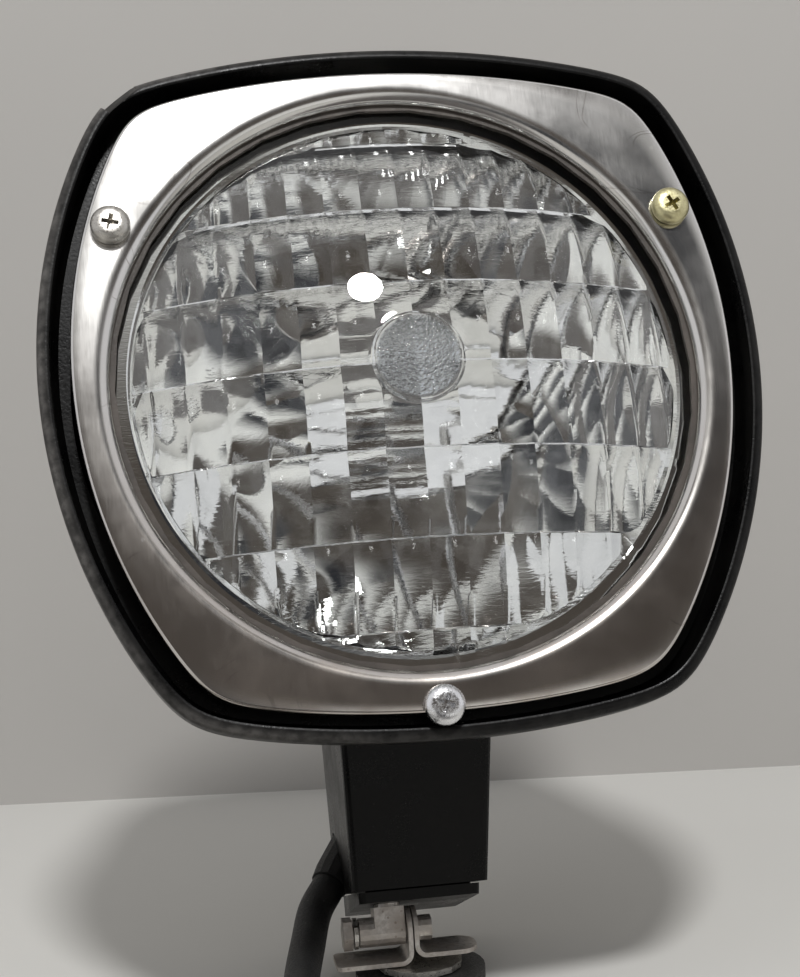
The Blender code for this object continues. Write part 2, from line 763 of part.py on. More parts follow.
# Bezel sandwich: plate, gasket, seat ring and the three screws
def make_bezel():
    plate = extruded("bezel", bezel_outline(0.0), BEZEL_SKIRT, "stainless", LAMP_FRAME)
    face_lamp(plate, 0.0, BEZEL_SKIRT)
    bevel(plate, BEZEL_T / 2)
    hollow = extruded("bezel_hollow", bezel_outline(-BEZEL_T), BEZEL_SKIRT, parent=LAMP_FRAME)
    face_lamp(hollow, BEZEL_T, BEZEL_T + BEZEL_SKIRT)
    boolean(plate, hollow)
    roll_radius = HOLE_RADIUS + ROLL_WIDTH
    opening = lamp_turned(
        "bezel_opening",
        [
            (0.0, BEZEL_SKIRT),
            (roll_radius - BEZEL_T, BEZEL_SKIRT),
            (roll_radius - BEZEL_T, -BEZEL_T),
            (0.0, -BEZEL_T),
        ],
        parent=LAMP_FRAME,
    )
    boolean(plate, opening)
    steps = 4
    front = []
    back = []
    for i in range(steps + 1):
        angle = math.pi / 2 * i / steps
        front.append((roll_radius - ROLL_WIDTH * math.sin(angle), ROLL_DEPTH * (1 - math.cos(angle))))
        back.append(
            (
                roll_radius - (ROLL_WIDTH - BEZEL_T) * math.sin(angle),
                BEZEL_T + (ROLL_DEPTH - BEZEL_T) * (1 - math.cos(angle)),
            )
        )
    roll = lamp_turned("bezel_roll", back + front[::-1], parent=LAMP_FRAME)
    boolean(plate, roll, "UNION")
    for side in SCREW_ANGLES:
        hole = cylinder("bezel_hole_" + side, SCREW_RADIUS + FIT, 4 * BEZEL_T, parent=LAMP_FRAME)
        hole.rotation_euler = ALONG_LAMP
        hole.location = screw_place(side, -BEZEL_T)
        boolean(plate, hole)
    smooth(plate)


def make_sandwich():
    bore = HOLE_RADIUS - BEZEL_T
    lamp_turned(
        "lens_gasket",
        washer_profile(bore, bore + GASKET_WIDTH, GASKET_Y, GASKET_Y + GASKET_T),
        "rubber",
        LAMP_FRAME,
    )
    seat = lamp_turned(
        "lamp_seat_ring",
        washer_profile(SEAT_BORE, SEAT_RADIUS, SEAT_Y, SEAT_Y + SEAT_T),
        "zinc",
        LAMP_FRAME,
    )
    finishes = {"left": "zinc", "right": "chromate", "bottom": "bright_steel"}
    for side, finish in finishes.items():
        notch = cylinder("seat_notch_" + side, SCREW_RADIUS + 2 * FIT, 2 * SEAT_T, parent=LAMP_FRAME)
        notch.rotation_euler = ALONG_LAMP
        notch.location = screw_place(side, SEAT_Y - SEAT_T / 2)
        boolean(seat, notch)
        screw = pan_screw(
            "bezel_screw_" + side,
            SCREW_RADIUS,
            SCREW_LENGTH,
            SCREW_HEAD_RADIUS,
            SCREW_HEAD_T,
            finish,
            LAMP_FRAME,
        )
        screw.rotation_euler = ALONG_LAMP
        screw.location = screw_place(side, -FIT)


# Housing: a moulded shell lofted through rounded four-arc sections
def housing_sections(wall, front_y, back_y):
    """Pairs of inset and distance back, from the rim to the domed back."""
    body = RIM_STEP + HOUSING_DRAFT + wall
    sections = [(RIM_STEP + wall, RIM_BAND + RIM_STEP), (body, HOUSING_SHOULDER)]
    sweep = math.radians(HOUSING_DOME_SWEEP)
    depth = (back_y - HOUSING_SHOULDER) / math.sin(sweep)
    steps = 5
    for i in range(1, steps + 1):
        angle = sweep * i / steps
        inset = body + HOUSING_DOME_INSET * (1 - math.cos(angle))
        sections.append((inset, HOUSING_SHOULDER + depth * math.sin(angle)))
    return [(wall, front_y), (wall, RIM_BAND)] + sections


def housing_solid(name, grow):
    """The housing's outer form as a solid, grown or shrunk, to cut or trim other pieces."""
    sections = housing_sections(-grow, RIM_SETBACK + RIM_ROUND, HOUSING_BACK_Y + grow)
    return mesh_object(name, loft_shape([rim_ring(-inset, y) for inset, y in sections]), parent=LAMP_FRAME)


def make_housing():
    front = RIM_SETBACK
    outer = housing_sections(0.0, front + RIM_ROUND, HOUSING_BACK_Y)
    inner = housing_sections(HOUSING_WALL, front + RIM_ROUND, HOUSING_BACK_Y - HOUSING_WALL)
    rings = [rim_ring(-inset, y) for inset, y in reversed(inner)]
    rings.append(rim_ring(-HOUSING_WALL + RIM_ROUND / 2, front))
    rings.append(rim_ring(-RIM_ROUND, front))
    rings += [rim_ring(-inset, y) for inset, y in outer]
    housing = mesh_object("housing", loft_shape(rings), "black_plastic", LAMP_FRAME)
    middle = housing_solid("housing_middle", -HOUSING_WALL / 2)
    for side in SCREW_ANGLES:
        add_boss(housing, side, middle)
    for sign in (-1, 1):
        add_neck_pad(housing, sign)
    way = cylinder("housing_wire_way", WIRE_HOLE_RADIUS, WIRE_WAY_LENGTH, parent=LAMP_FRAME)
    way.location = (0.0, WIRE_HOLE_Y, floor_z() - NECK_ROOF)
    boolean(housing, way)
    smooth(housing)


def add_boss(housing, side, middle):
    """A post for a bezel screw with a rib to the wall, both trimmed inside the wall."""
    angle = math.radians(SCREW_ANGLES[side])
    boss = cylinder("boss_" + side, BOSS_RADIUS, BOSS_LENGTH, parent=LAMP_FRAME)
    boss.rotation_euler = ALONG_LAMP
    boss.location = screw_place(side, BOSS_Y)
    rib = box(
        "boss_rib_" + side,
        (SCREW_CIRCLE, BOSS_Y + SEAT_T, -BOSS_RIB_T / 2),
        (SCREW_CIRCLE + BOSS_LENGTH, BOSS_Y + BOSS_LENGTH - SEAT_T, BOSS_RIB_T / 2),
        parent=LAMP_FRAME,
    )
    rib.rotation_euler.y = -angle
    for piece in (boss, rib):
        boolean(piece, middle, "INTERSECT")
        boolean(housing, piece, "UNION")
    pilot = cylinder("boss_pilot_" + side, SCREW_RADIUS + FIT, SCREW_LENGTH, parent=LAMP_FRAME)
    pilot.rotation_euler = ALONG_LAMP
    pilot.location = screw_place(side, FIT)
    boolean(housing, pilot)


def floor_z():
    """Underside of the housing body in front of its shoulder."""
    return -(BEZEL_BOTTOM + RIM_REACH_BOTTOM - RIM_STEP - HOUSING_DRAFT)


def add_neck_pad(housing, sign):
    """A blind screw pad on the housing floor for one of the neck's screws."""
    pad = cylinder("neck_pad_%d" % sign, NECK_PAD_RADIUS, NECK_SCREW_GRIP, parent=LAMP_FRAME)
    pad.location = (sign * NECK_SCREW_SPREAD, NECK_SCREW_Y, floor_z() + HOUSING_WALL / 2)
    boolean(housing, pad, "UNION")
    pilot = cylinder("neck_pilot_%d" % sign, SMALL_SCREW_RADIUS + FIT, NECK_SCREW_GRIP, parent=LAMP_FRAME)
    pilot.location = (sign * NECK_SCREW_SPREAD, NECK_SCREW_Y, floor_z() - FIT)
    boolean(housing, pilot)


# Neck, its plug and their screws
def neck_share(z):
    return (NECK_TOP_Z - z) / (NECK_TOP_Z - NECK_BOTTOM_Z)


def neck_ring(z, inset):
    """Rounded rectangle across the raked neck at a height in the lamp frame."""
    share = neck_share(z)
    half = NECK_TOP_HALF + (NECK_BOTTOM_HALF - NECK_TOP_HALF) * share - inset
    front = NECK_FRONT_TOP_Y + (NECK_FRONT_BOTTOM_Y - NECK_FRONT_TOP_Y) * share + inset
    back = neck_back_y(z) - inset
    corners = [(half, back), (-half, back), (-half, front), (half, front)]
    ring = []
    for turn, (x, y) in enumerate(corners):
        centre_x = x - math.copysign(NECK_CORNER, x)
        centre_y = y - NECK_CORNER if turn < 2 else y + NECK_CORNER
        for step in range(4):
            angle = math.pi / 2 * (turn + step / 3)
            ring.append(
                (centre_x + NECK_CORNER * math.cos(angle), centre_y + NECK_CORNER * math.sin(angle), z)
            )
    return ring


def make_neck():
    top = HOUSING_DOME_INSET - BEZEL_BOTTOM
    rings = [neck_ring(NECK_BOTTOM_Z, 0.0), neck_ring(top, 0.0)]
    neck = mesh_object("neck", loft_shape(rings), "black_plastic", LAMP_FRAME)
    boolean(neck, housing_solid("housing_envelope", FIT))
    roof = floor_z() - NECK_ROOF
    cavity = mesh_object(
        "neck_cavity",
        loft_shape([neck_ring(NECK_BOTTOM_Z - NECK_WALL, NECK_WALL), neck_ring(roof, NECK_WALL)]),
        parent=LAMP_FRAME,
    )
    boolean(neck, cavity)
    way = cylinder("neck_wire_way", WIRE_HOLE_RADIUS, WIRE_WAY_LENGTH, parent=LAMP_FRAME)
    way.location = (0.0, WIRE_HOLE_Y, roof - FIT)
    boolean(neck, way)
    for side, sign in (("left", -1), ("right", 1)):
        x = sign * NECK_SCREW_SPREAD
        way_radius = SMALL_SCREW_RADIUS + FIT
        hole = cylinder("neck_screw_way_" + side, way_radius, 3 * NECK_ROOF, parent=LAMP_FRAME)
        hole.location = (x, NECK_SCREW_Y, roof - NECK_ROOF)
        boolean(neck, hole)
        screw = small_screw("neck_screw_" + side, NECK_ROOF + NECK_SCREW_GRIP - FIT, "zinc")
        screw.location = (x, NECK_SCREW_Y, roof - FIT)
    boolean(neck, gland_cutter(FIT))
    plug_way = cylinder("plug_screw_way", SMALL_SCREW_RADIUS + FIT, PLUG_SCREW_LENGTH, parent=LAMP_FRAME)
    place_plug_screw(plug_way, 2 * FIT)
    boolean(neck, plug_way)
    smooth(neck)
    return plug_way


def plug_screw_z():
    return NECK_BOTTOM_Z + PLUG_SPIGOT / 2


def neck_back_y(z):
    return NECK_BACK_TOP_Y + (NECK_BACK_BOTTOM_Y - NECK_BACK_TOP_Y) * neck_share(z)


def place_plug_screw(part, proud):
    """Sets a piece square on the neck's raked back face, pointing into the plug's spigot."""
    rake = math.atan2(NECK_BACK_BOTTOM_Y - NECK_BACK_TOP_Y, NECK_TOP_Z - NECK_BOTTOM_Z)
    part.rotation_euler = (math.radians(90.0) + rake, 0.0, 0.0)
    face = Vector((PLUG_SCREW_X, neck_back_y(plug_screw_z()), plug_screw_z()))
    part.location = face + proud * Vector((0.0, math.cos(rake), math.sin(rake)))


def wedge_ring():
    """The plug's underside, which drops towards the back."""
    ring = neck_ring(PLUG_BOTTOM_Z, PLUG_INSET)
    return [(x, y, z - PLUG_SLOPE * (y - NECK_FRONT_BOTTOM_Y)) for x, y, z in ring]


def make_plug(plug_way):
    spigot = NECK_WALL + FIT
    rings = [
        wedge_ring(),
        neck_ring(PLUG_TOP_Z, PLUG_INSET),
        neck_ring(PLUG_TOP_Z, spigot),
        neck_ring(NECK_BOTTOM_Z + PLUG_SPIGOT, spigot),
    ]
    plug = mesh_object("neck_plug", loft_shape(rings), "black_plastic", LAMP_FRAME)
    hole = cylinder("plug_shank_way", SHANK_RADIUS + FIT, 3 * PLUG_SPIGOT, parent=LAMP_FRAME)
    hole.location = (SHANK_X, PIVOT_Y, PLUG_PIVOT_Z - PLUG_SPIGOT)
    boolean(plug, hole)
    boolean(plug, plug_way)
    boolean(plug, gland_cutter(FIT))
    smooth(plug)
    screw = small_screw("plug_screw", PLUG_SCREW_LENGTH - 2 * FIT, "zinc")
    place_plug_screw(screw, FIT)


# Tilt joint
def make_knuckle():
    """A steel eye under the plug, with a threaded shank that a nut holds inside the neck."""
    half = KNUCKLE_NECK / 2
    top = PLUG_PIVOT_Z - FIT - PLUG_SLOPE * KNUCKLE_RADIUS
    knuckle = cylinder("tilt_knuckle", KNUCKLE_RADIUS, KNUCKLE_LENGTH, "foot_steel", LAMP_FRAME, ROUND // 2)
    knuckle.rotation_euler = ALONG_X
    knuckle.location = (KNUCKLE_LEFT, PIVOT_Y, PIVOT_Z)
    block = box(
        "knuckle_block",
        (SHANK_X - half, PIVOT_Y - KNUCKLE_RADIUS, PIVOT_Z),
        (SHANK_X + half, PIVOT_Y + KNUCKLE_RADIUS, top),
        parent=LAMP_FRAME,
    )
    boolean(knuckle, block, "UNION")
    nut_z = NECK_BOTTOM_Z + PLUG_SPIGOT + FIT
    shank_length = nut_z + SHANK_NUT_T + FIT - PIVOT_Z - TILT_BOLT_RADIUS
    shank = cylinder("knuckle_shank", SHANK_RADIUS, shank_length, parent=LAMP_FRAME)
    shank.location = (SHANK_X, PIVOT_Y, PIVOT_Z + TILT_BOLT_RADIUS)
    boolean(knuckle, shank, "UNION")
    bore = cylinder("knuckle_bore", TILT_BOLT_RADIUS + RUNNING_FIT, 2 * KNUCKLE_LENGTH, parent=LAMP_FRAME)
    bore.rotation_euler = ALONG_X
    bore.location = (KNUCKLE_LEFT - KNUCKLE_LENGTH / 2, PIVOT_Y, PIVOT_Z)
    boolean(knuckle, bore)
    nut = hex_nut("knuckle_nut", SHANK_NUT_FLATS, SHANK_NUT_T, SHANK_RADIUS + FIT, "zinc", LAMP_FRAME)
    nut.location = (SHANK_X, PIVOT_Y, nut_z)


def make_tilt_bolt():
    axis = add_empty("tilt_bolt_axis")
    axis.location = (0.0, 0.0, PIVOT_HEIGHT)
    axis.rotation_euler = ALONG_X
    washer_left = KNUCKLE_LEFT - FIT - WASHER_T
    turned(
        "tilt_washer",
        washer_profile(TILT_BOLT_RADIUS + FIT, TILT_WASHER_RADIUS, washer_left, washer_left + WASHER_T),
        "zinc",
        axis,
        SMALL_ROUND,
    )
    head_left = washer_left - FIT - TILT_BOLT_HEAD_T
    rivet_left = UPRIGHT_X + UPRIGHT_REACH + FIT
    bolt = hexagon("tilt_bolt", TILT_BOLT_FLATS, TILT_BOLT_HEAD_T, "foot_steel", axis)
    bolt.location.z = head_left
    shank_left = head_left + TILT_BOLT_HEAD_T / 2
    shank_length = rivet_left + TILT_RIVET_T / 2 - shank_left
    shank = cylinder("tilt_bolt_shank", TILT_BOLT_RADIUS, shank_length, parent=axis)
    shank.location.z = shank_left
    boolean(bolt, shank, "UNION")
    rivet = cylinder("tilt_bolt_rivet", TILT_RIVET_RADIUS, TILT_RIVET_T, parent=axis)
    rivet.location.z = rivet_left
    boolean(bolt, rivet, "UNION")


# Foot
def arc(centre, radius, start, end, steps=6):
    """Points on an arc between two angles in degrees."""
    points = []
    for i in range(steps + 1):
        angle = math.radians(start + (end - start) * i / steps)
        points.append((centre[0] + radius * math.cos(angle), centre[1] + radius * math.sin(angle)))
    return points


def angle_section(reach, lift):
    """Bent sheet seen from the front: an upright beside the middle and a flange."""
    inner = FIT / 2
    outer = UPRIGHT_REACH
    top = PIVOT_HEIGHT + ANGLE_WIDTH
    bend = (outer + ANGLE_BEND, FLANGE_TOP_Z + lift + ANGLE_BEND)
    far = reach + ANGLE_WIDTH
    return (
        [(outer, top)]
        + arc(bend, ANGLE_BEND, 180.0, 270.0)
        + [(far, FLANGE_TOP_Z + lift), (far, FOOT_Z + lift)]
        + arc(bend, ANGLE_BEND + ANGLE_T, 270.0, 180.0)
        + [(inner, top)]
    )


def flange_plan(reach, corner):
    """Flange seen from above, with its two outer corners rounded."""
    half = ANGLE_WIDTH / 2
    return (
        [(-half, half), (-half, -half)]
        + arc((reach - corner, corner - half), corner, -90.0, 0.0)
        + arc((reach - corner, half - corner), corner, 0.0, 90.0)
    )


def upright_side(lift):
    """Upright seen from the side: straight, then round about the tilt axis."""
    half = ANGLE_WIDTH
    low = FOOT_Z - ANGLE_WIDTH
    shoulder = FLANGE_TOP_Z + lift + ANGLE_BEND
    crown = arc((0.0, PIVOT_HEIGHT), UPRIGHT_RADIUS, 0.0, 180.0, 16)
    return [(-half, low), (half, low), (half, shoulder)] + crown + [(-half, shoulder)]


def make_angle(name, sign, reach, corner, lift):
    """Bent angle trimmed to its front, top and side outlines, with the tilt bolt's bore."""
    section = [(UPRIGHT_X + sign * x, z) for x, z in angle_section(reach, lift)]
    angle = extruded(name, section, 2 * ANGLE_WIDTH, "foot_steel")
    angle.rotation_euler.x = math.radians(90.0)
    top_view = [(sign * x, y) for x, y in flange_plan(reach, corner)]
    plan = extruded(name + "_plan", top_view, 4 * PIVOT_HEIGHT)
    boolean(angle, plan, "INTERSECT")
    side = extruded(name + "_side", upright_side(lift), 4 * reach)
    side.rotation_euler = (math.radians(90.0), 0.0, math.radians(90.0))
    boolean(angle, side, "INTERSECT")
    bore = cylinder(name + "_bore", TILT_BOLT_RADIUS + FIT, 4 * ANGLE_T)
    bore.rotation_euler = ALONG_X
    bore.location = (UPRIGHT_X - 2 * ANGLE_T, 0.0, PIVOT_HEIGHT)
    boolean(angle, bore)


def make_foot():
    make_angle("foot_angle_left", -1, FLANGE_LEFT, FLANGE_LEFT_CORNER, 0.0)
    make_angle("foot_angle_right", 1, FLANGE_RIGHT, FLANGE_RIGHT_CORNER, FLANGE_RIGHT_LIFT)
    top = STUD_HEAD_Z + STUD_HEAD_T
    turned(
        "mount_stud",
        [
            (0.0, top),
            (STUD_HEAD_RADIUS, top),
            (STUD_HEAD_RADIUS, STUD_HEAD_Z),
            (STUD_RADIUS, STUD_HEAD_Z),
            (STUD_RADIUS, -STUD_LENGTH),
            (0.0, -STUD_LENGTH),
        ],
        "zinc",
        segments=SMALL_ROUND,
    )
    bore = STUD_RADIUS + RUNNING_FIT
    turned("mount_pad", washer_profile(bore, PAD_RADIUS, 0.0, PAD_T), "rubber")
    washer_top = -PANEL_T
    washer_low = washer_top - STUD_WASHER_T
    turned(
        "mount_washer",
        washer_profile(bore, STUD_WASHER_RADIUS, washer_low, washer_top),
        "zinc",
        segments=SMALL_ROUND,
    )
    nut = hex_nut("mount_nut", STUD_NUT_FLATS, STUD_NUT_T, bore, "zinc", None)
    nut.location.z = washer_low - FIT - STUD_NUT_T


# Cord
def gland_axis():
    return Vector(CORD_EXIT).normalized()


def gland_root():
    """Where the cord's axis passes the neck's left face, in the world."""
    share = neck_share(GLAND_Z)
    half = NECK_TOP_HALF + (NECK_BOTTOM_HALF - NECK_TOP_HALF) * share
    return lamp_to_world((-half, GLAND_Y, GLAND_Z))


def aim(part, root, direction):
    """Puts a piece drawn along +Z at a world point, pointing along a world direction."""
    part.matrix_world = Matrix.Translation(root) @ direction.to_track_quat("Z", "Y").to_matrix().to_4x4()


def gland_cutter(gap):
    start = gland_root() - gland_axis() * (GLAND_IN + gap)
    way = mesh_object("gland_way", cylinder_shape(GLAND_RADIUS + gap, 2 * (GLAND_IN + gap)))
    aim(way, start, gland_axis())
    return way


def make_gland():
    start = gland_root() - gland_axis() * GLAND_IN
    whole = GLAND_IN + GLAND_OUT
    gland = turned(
        "cord_gland",
        [
            (0.0, whole),
            (GLAND_TIP_RADIUS, whole),
            (GLAND_RADIUS, GLAND_IN + GLAND_OUT / 3),
            (GLAND_RADIUS, 0.0),
            (0.0, 0.0),
        ],
        "rubber",
        segments=SMALL_ROUND,
    )
    aim(gland, start, gland_axis())
    bpy.context.view_layer.update()
    place = gland.matrix_world.copy()
    gland.parent = LAMP_FRAME
    gland.matrix_world = place


def cord_start():
    return gland_root() + gland_axis() * (GLAND_OUT + FIT)


def coil_reach(half):
    """How far past the coil's centre a piece this thick, on its middle circle, clears its side."""
    outer = COIL_RADIUS + COIL_HALF_WIDTH + FIT
    return math.sqrt(outer**2 - (COIL_RADIUS - half) ** 2)


def cord_route():
    """From the gland, down to the mounting surface and forward to the coil's outer turn."""
    start = cord_start()
    lying = CORD_RADIUS + FIT
    return [
        start,
        start + gland_axis() * 2 * CORD_RADIUS,
        *CORD_BEND,
        *((x, y, lying) for x, y in CORD_LYING),
        (COIL_CENTRE[0] + COIL_RADIUS, COIL_CENTRE[1] + coil_reach(CORD_RADIUS), lying),
    ]


def make_cord():
    tube("cord_tube", smooth_path(cord_route(), 3), CORD_RADIUS, "rubber", resolution=3)
    low = COIL_LIFT
    high = COIL_LIFT + COIL_HEIGHT
    inner = COIL_RADIUS - COIL_HALF_WIDTH
    outer = COIL_RADIUS + COIL_HALF_WIDTH
    coil = turned(
        "cord_coil",
        [
            (inner + COIL_EDGE, high),
            (outer - COIL_EDGE, high),
            (outer, high - COIL_EDGE),
            (outer, low + COIL_EDGE),
            (outer - COIL_EDGE, low),
            (inner + COIL_EDGE, low),
            (inner, low + COIL_EDGE),
            (inner, high - COIL_EDGE),
        ],
        "rubber",
        segments=ROUND,
    )
    coil.location = (*COIL_CENTRE, 0.0)
    make_tie(low, high)
    make_connector()


def make_tie(low, high):
    """A strap round the coil's bundle, eased for the bundle's curve."""
    ease = (TIE_WIDTH / 2) ** 2 / (2 * (COIL_RADIUS - COIL_HALF_WIDTH))
    half = COIL_HALF_WIDTH + FIT + ease
    strap = box(
        "cord_tie",
        (-half - TIE_T, -TIE_WIDTH / 2, low - FIT - TIE_T),
        (half + TIE_T, TIE_WIDTH / 2, high + FIT + TIE_T),
        "rubber",
    )
    window = box("tie_window", (-half, -TIE_WIDTH, low - FIT), (half, TIE_WIDTH, high + FIT))
    boolean(strap, window)
    angle = math.radians(TIE_ANGLE)
    for part in (strap, window):
        part.rotation_euler.z = angle
        part.location = (
            COIL_CENTRE[0] + COIL_RADIUS * math.cos(angle),
            COIL_CENTRE[1] + COIL_RADIUS * math.sin(angle),
            0.0,
        )


def make_connector():
    """A two-pole moulded connector lying beside the coil, where the last turn leaves it."""
    middle = FIT + CONNECTOR_HEIGHT / 2
    x = COIL_CENTRE[0] - COIL_RADIUS
    nose_y = COIL_CENTRE[1] + coil_reach(CORD_RADIUS + FIT) + FIT
    body_y = nose_y + CONNECTOR_GRIP
    half = CONNECTOR_WIDTH / 2
    body = box(
        "cord_connector",
        (x - half, body_y, FIT),
        (x + half, body_y + CONNECTOR_LENGTH, FIT + CONNECTOR_HEIGHT),
        "rubber",
    )
    bevel(body, CONNECTOR_ROUND)
    nose_end = CONNECTOR_HEIGHT / 2 - FIT
    nose_shape = cylinder_shape(CORD_RADIUS + FIT, 2 * CONNECTOR_GRIP, SMALL_ROUND, nose_end)
    nose = mesh_object("connector_nose", nose_shape)
    nose.rotation_euler = ALONG_LAMP
    nose.location = (x, nose_y, middle)
    boolean(body, nose, "UNION")
    for side, sign in (("left", -1), ("right", 1)):
        pin = cylinder("connector_pin_" + side, PIN_RADIUS, PIN_LENGTH, "brass")
        pin.rotation_euler = ALONG_LAMP
        pin.location = (x + sign * PIN_SPREAD, body_y + CONNECTOR_LENGTH + FIT, middle)


def make_lead_wires():
    """The cord's two cores inside the neck and housing, up to the lamp's terminals."""
    inner_end = world_to_lamp(gland_root() - gland_axis() * (GLAND_IN + FIT))
    roof = floor_z() - NECK_ROOF
    for side, sign, finish in (("left", -1, "red_wire"), ("right", 1, "rubber")):
        x = sign * TERMINAL_SPREAD
        way_y = WIRE_HOLE_Y - sign * WIRE_SPREAD
        lug_end = Vector((x, LUG_Y + LUG_T + FIT + WIRE_RADIUS, WIRE_RADIUS - LUG_TONGUE))
        forward = 4 * WIRE_RADIUS + sign * (WIRE_RADIUS + 2 * FIT)
        cord_end = inner_end + Vector((2 * WIRE_RADIUS, -forward, 2 * WIRE_RADIUS))
        route = [
            lug_end,
            (x, lug_end.y + WIRE_RADIUS, 2 * lug_end.z),
            (sign * WIRE_SPREAD, way_y, floor_z() + BOSS_RADIUS + WIRE_HOLE_RADIUS),
            (0.0, way_y, floor_z()),
            (0.0, way_y, roof - WIRE_SPREAD),
            ((inner_end.x + WIRE_SPREAD) / 2, (way_y + cord_end.y) / 2, (roof + inner_end.z) / 2),
            cord_end,
        ]
        tube("lead_wire_" + side, smooth_path(route, 3), WIRE_RADIUS, finish, LAMP_FRAME, 1)


def main():
    make_lens()
    make_reflector()
    make_filament()
    make_terminals()
    make_bezel()
    make_sandwich()
    make_housing()
    plug_way = make_neck()
    make_plug(plug_way)
    make_knuckle()
    make_tilt_bolt()
    make_foot()
    make_gland()
    make_cord()
    make_lead_wires()
    bpy.context.view_layer.update()


main()
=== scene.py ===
# %% [markdown]
# # A sealed-beam work lamp
# A round sealed glass lamp sits behind a stamped stainless bezel, in a black moulded housing on a
# short neck and a small tilting steel foot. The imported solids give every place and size. This
# lesson dresses them: a finer skin for each piece that shows, and a finish for every material.

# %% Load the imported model
import math
from functools import partial

import bmesh
import bpy
from mathutils import Matrix, Vector


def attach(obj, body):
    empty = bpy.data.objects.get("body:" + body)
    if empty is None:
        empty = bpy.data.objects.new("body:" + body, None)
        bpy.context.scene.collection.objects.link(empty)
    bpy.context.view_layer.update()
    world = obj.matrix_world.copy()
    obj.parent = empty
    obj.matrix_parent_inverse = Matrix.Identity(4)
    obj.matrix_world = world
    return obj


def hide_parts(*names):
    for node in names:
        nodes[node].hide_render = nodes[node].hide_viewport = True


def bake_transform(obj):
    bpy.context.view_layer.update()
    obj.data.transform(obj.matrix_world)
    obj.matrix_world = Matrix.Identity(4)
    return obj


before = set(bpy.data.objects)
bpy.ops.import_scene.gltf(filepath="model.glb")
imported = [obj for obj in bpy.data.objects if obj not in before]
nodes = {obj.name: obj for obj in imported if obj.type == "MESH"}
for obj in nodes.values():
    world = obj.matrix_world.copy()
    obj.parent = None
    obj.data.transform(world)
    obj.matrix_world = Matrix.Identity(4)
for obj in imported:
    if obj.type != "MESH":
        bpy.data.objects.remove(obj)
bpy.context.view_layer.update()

# %% [markdown]
# ## Camera
# The camera stands where the photographer held theirs: close, a little left of the lamp and just
# above its middle. Its place and aim come from fitting known sizes of the lamp to the picture.
# A long lens on the same spot would flatten the head, so the focal length is part of the fit.

# %% Camera
CAMERA_PLACE = Vector((-0.04908, -0.33082, 0.11675))
CAMERA_FORWARD = Vector((0.14861, 0.98736, -0.05517)).normalized()
CAMERA_UP = Vector((0.05723, 0.04711, 0.99725)).normalized()
CAMERA_LENS = 62.64


def make_camera():
    data = bpy.data.cameras.new("camera")
    data.lens = CAMERA_LENS
    data.clip_start = 0.01
    camera = bpy.data.objects.new("camera", data)
    bpy.context.scene.collection.objects.link(camera)
    right = CAMERA_FORWARD.cross(CAMERA_UP)
    turn = Matrix((right, right.cross(CAMERA_FORWARD), -CAMERA_FORWARD)).transposed()
    camera.matrix_world = Matrix.Translation(CAMERA_PLACE) @ turn.to_4x4()
    bpy.context.scene.camera = camera
    print("camera", [round(c, 4) for c in CAMERA_PLACE], "lens", CAMERA_LENS, "mm")


make_camera()

# %% [markdown]
# ## Mesh helpers
# Most pieces here are skins through rings of points, as a modeller would loft them. A ring is a
# list of points, all rings of a piece have as many, and faces join each ring to the next. The two
# ends are capped, or the last ring joins the first when the piece is a hoop.

# %% Mesh helpers
def new_piece(name, shape, sharp=35.0):
    """A smooth-shaded object from a bmesh, with merged points and outward faces."""
    bmesh.ops.remove_doubles(shape, verts=shape.verts, dist=1e-6)
    bmesh.ops.recalc_face_normals(shape, faces=shape.faces)
    mesh = bpy.data.meshes.new(name)
    shape.to_mesh(mesh)
    shape.free()
    mesh.shade_smooth()
    mesh.set_sharp_from_angle(angle=math.radians(sharp))
    piece = bpy.data.objects.new(name, mesh)
    bpy.context.scene.collection.objects.link(piece)
    return piece


def skin(rings, hoop=False):
    """A closed bmesh through rings of points."""
    shape = bmesh.new()
    rows = [[shape.verts.new(point) for point in ring] for ring in rings]
    count = len(rows[0])
    pairs = list(zip(rows, rows[1:]))
    if hoop:
        pairs.append((rows[-1], rows[0]))
    for near, far in pairs:
        for i in range(count):
            j = (i + 1) % count
            shape.faces.new((near[i], near[j], far[j], far[i]))
    if not hoop:
        shape.faces.new(rows[0])
        shape.faces.new(rows[-1])
    return shape


def smoothstep(t):
    t = min(max(t, 0.0), 1.0)
    return t * t * (3 - 2 * t)


def dress(piece, body, slot, *replaced):
    """Sets a finished piece on its body and hides the solids that it stands for; the slot is not used."""
    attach(piece, body)
    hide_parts(*replaced)
    print(piece.name, len(piece.data.polygons), "faces, for", ", ".join(replaced))
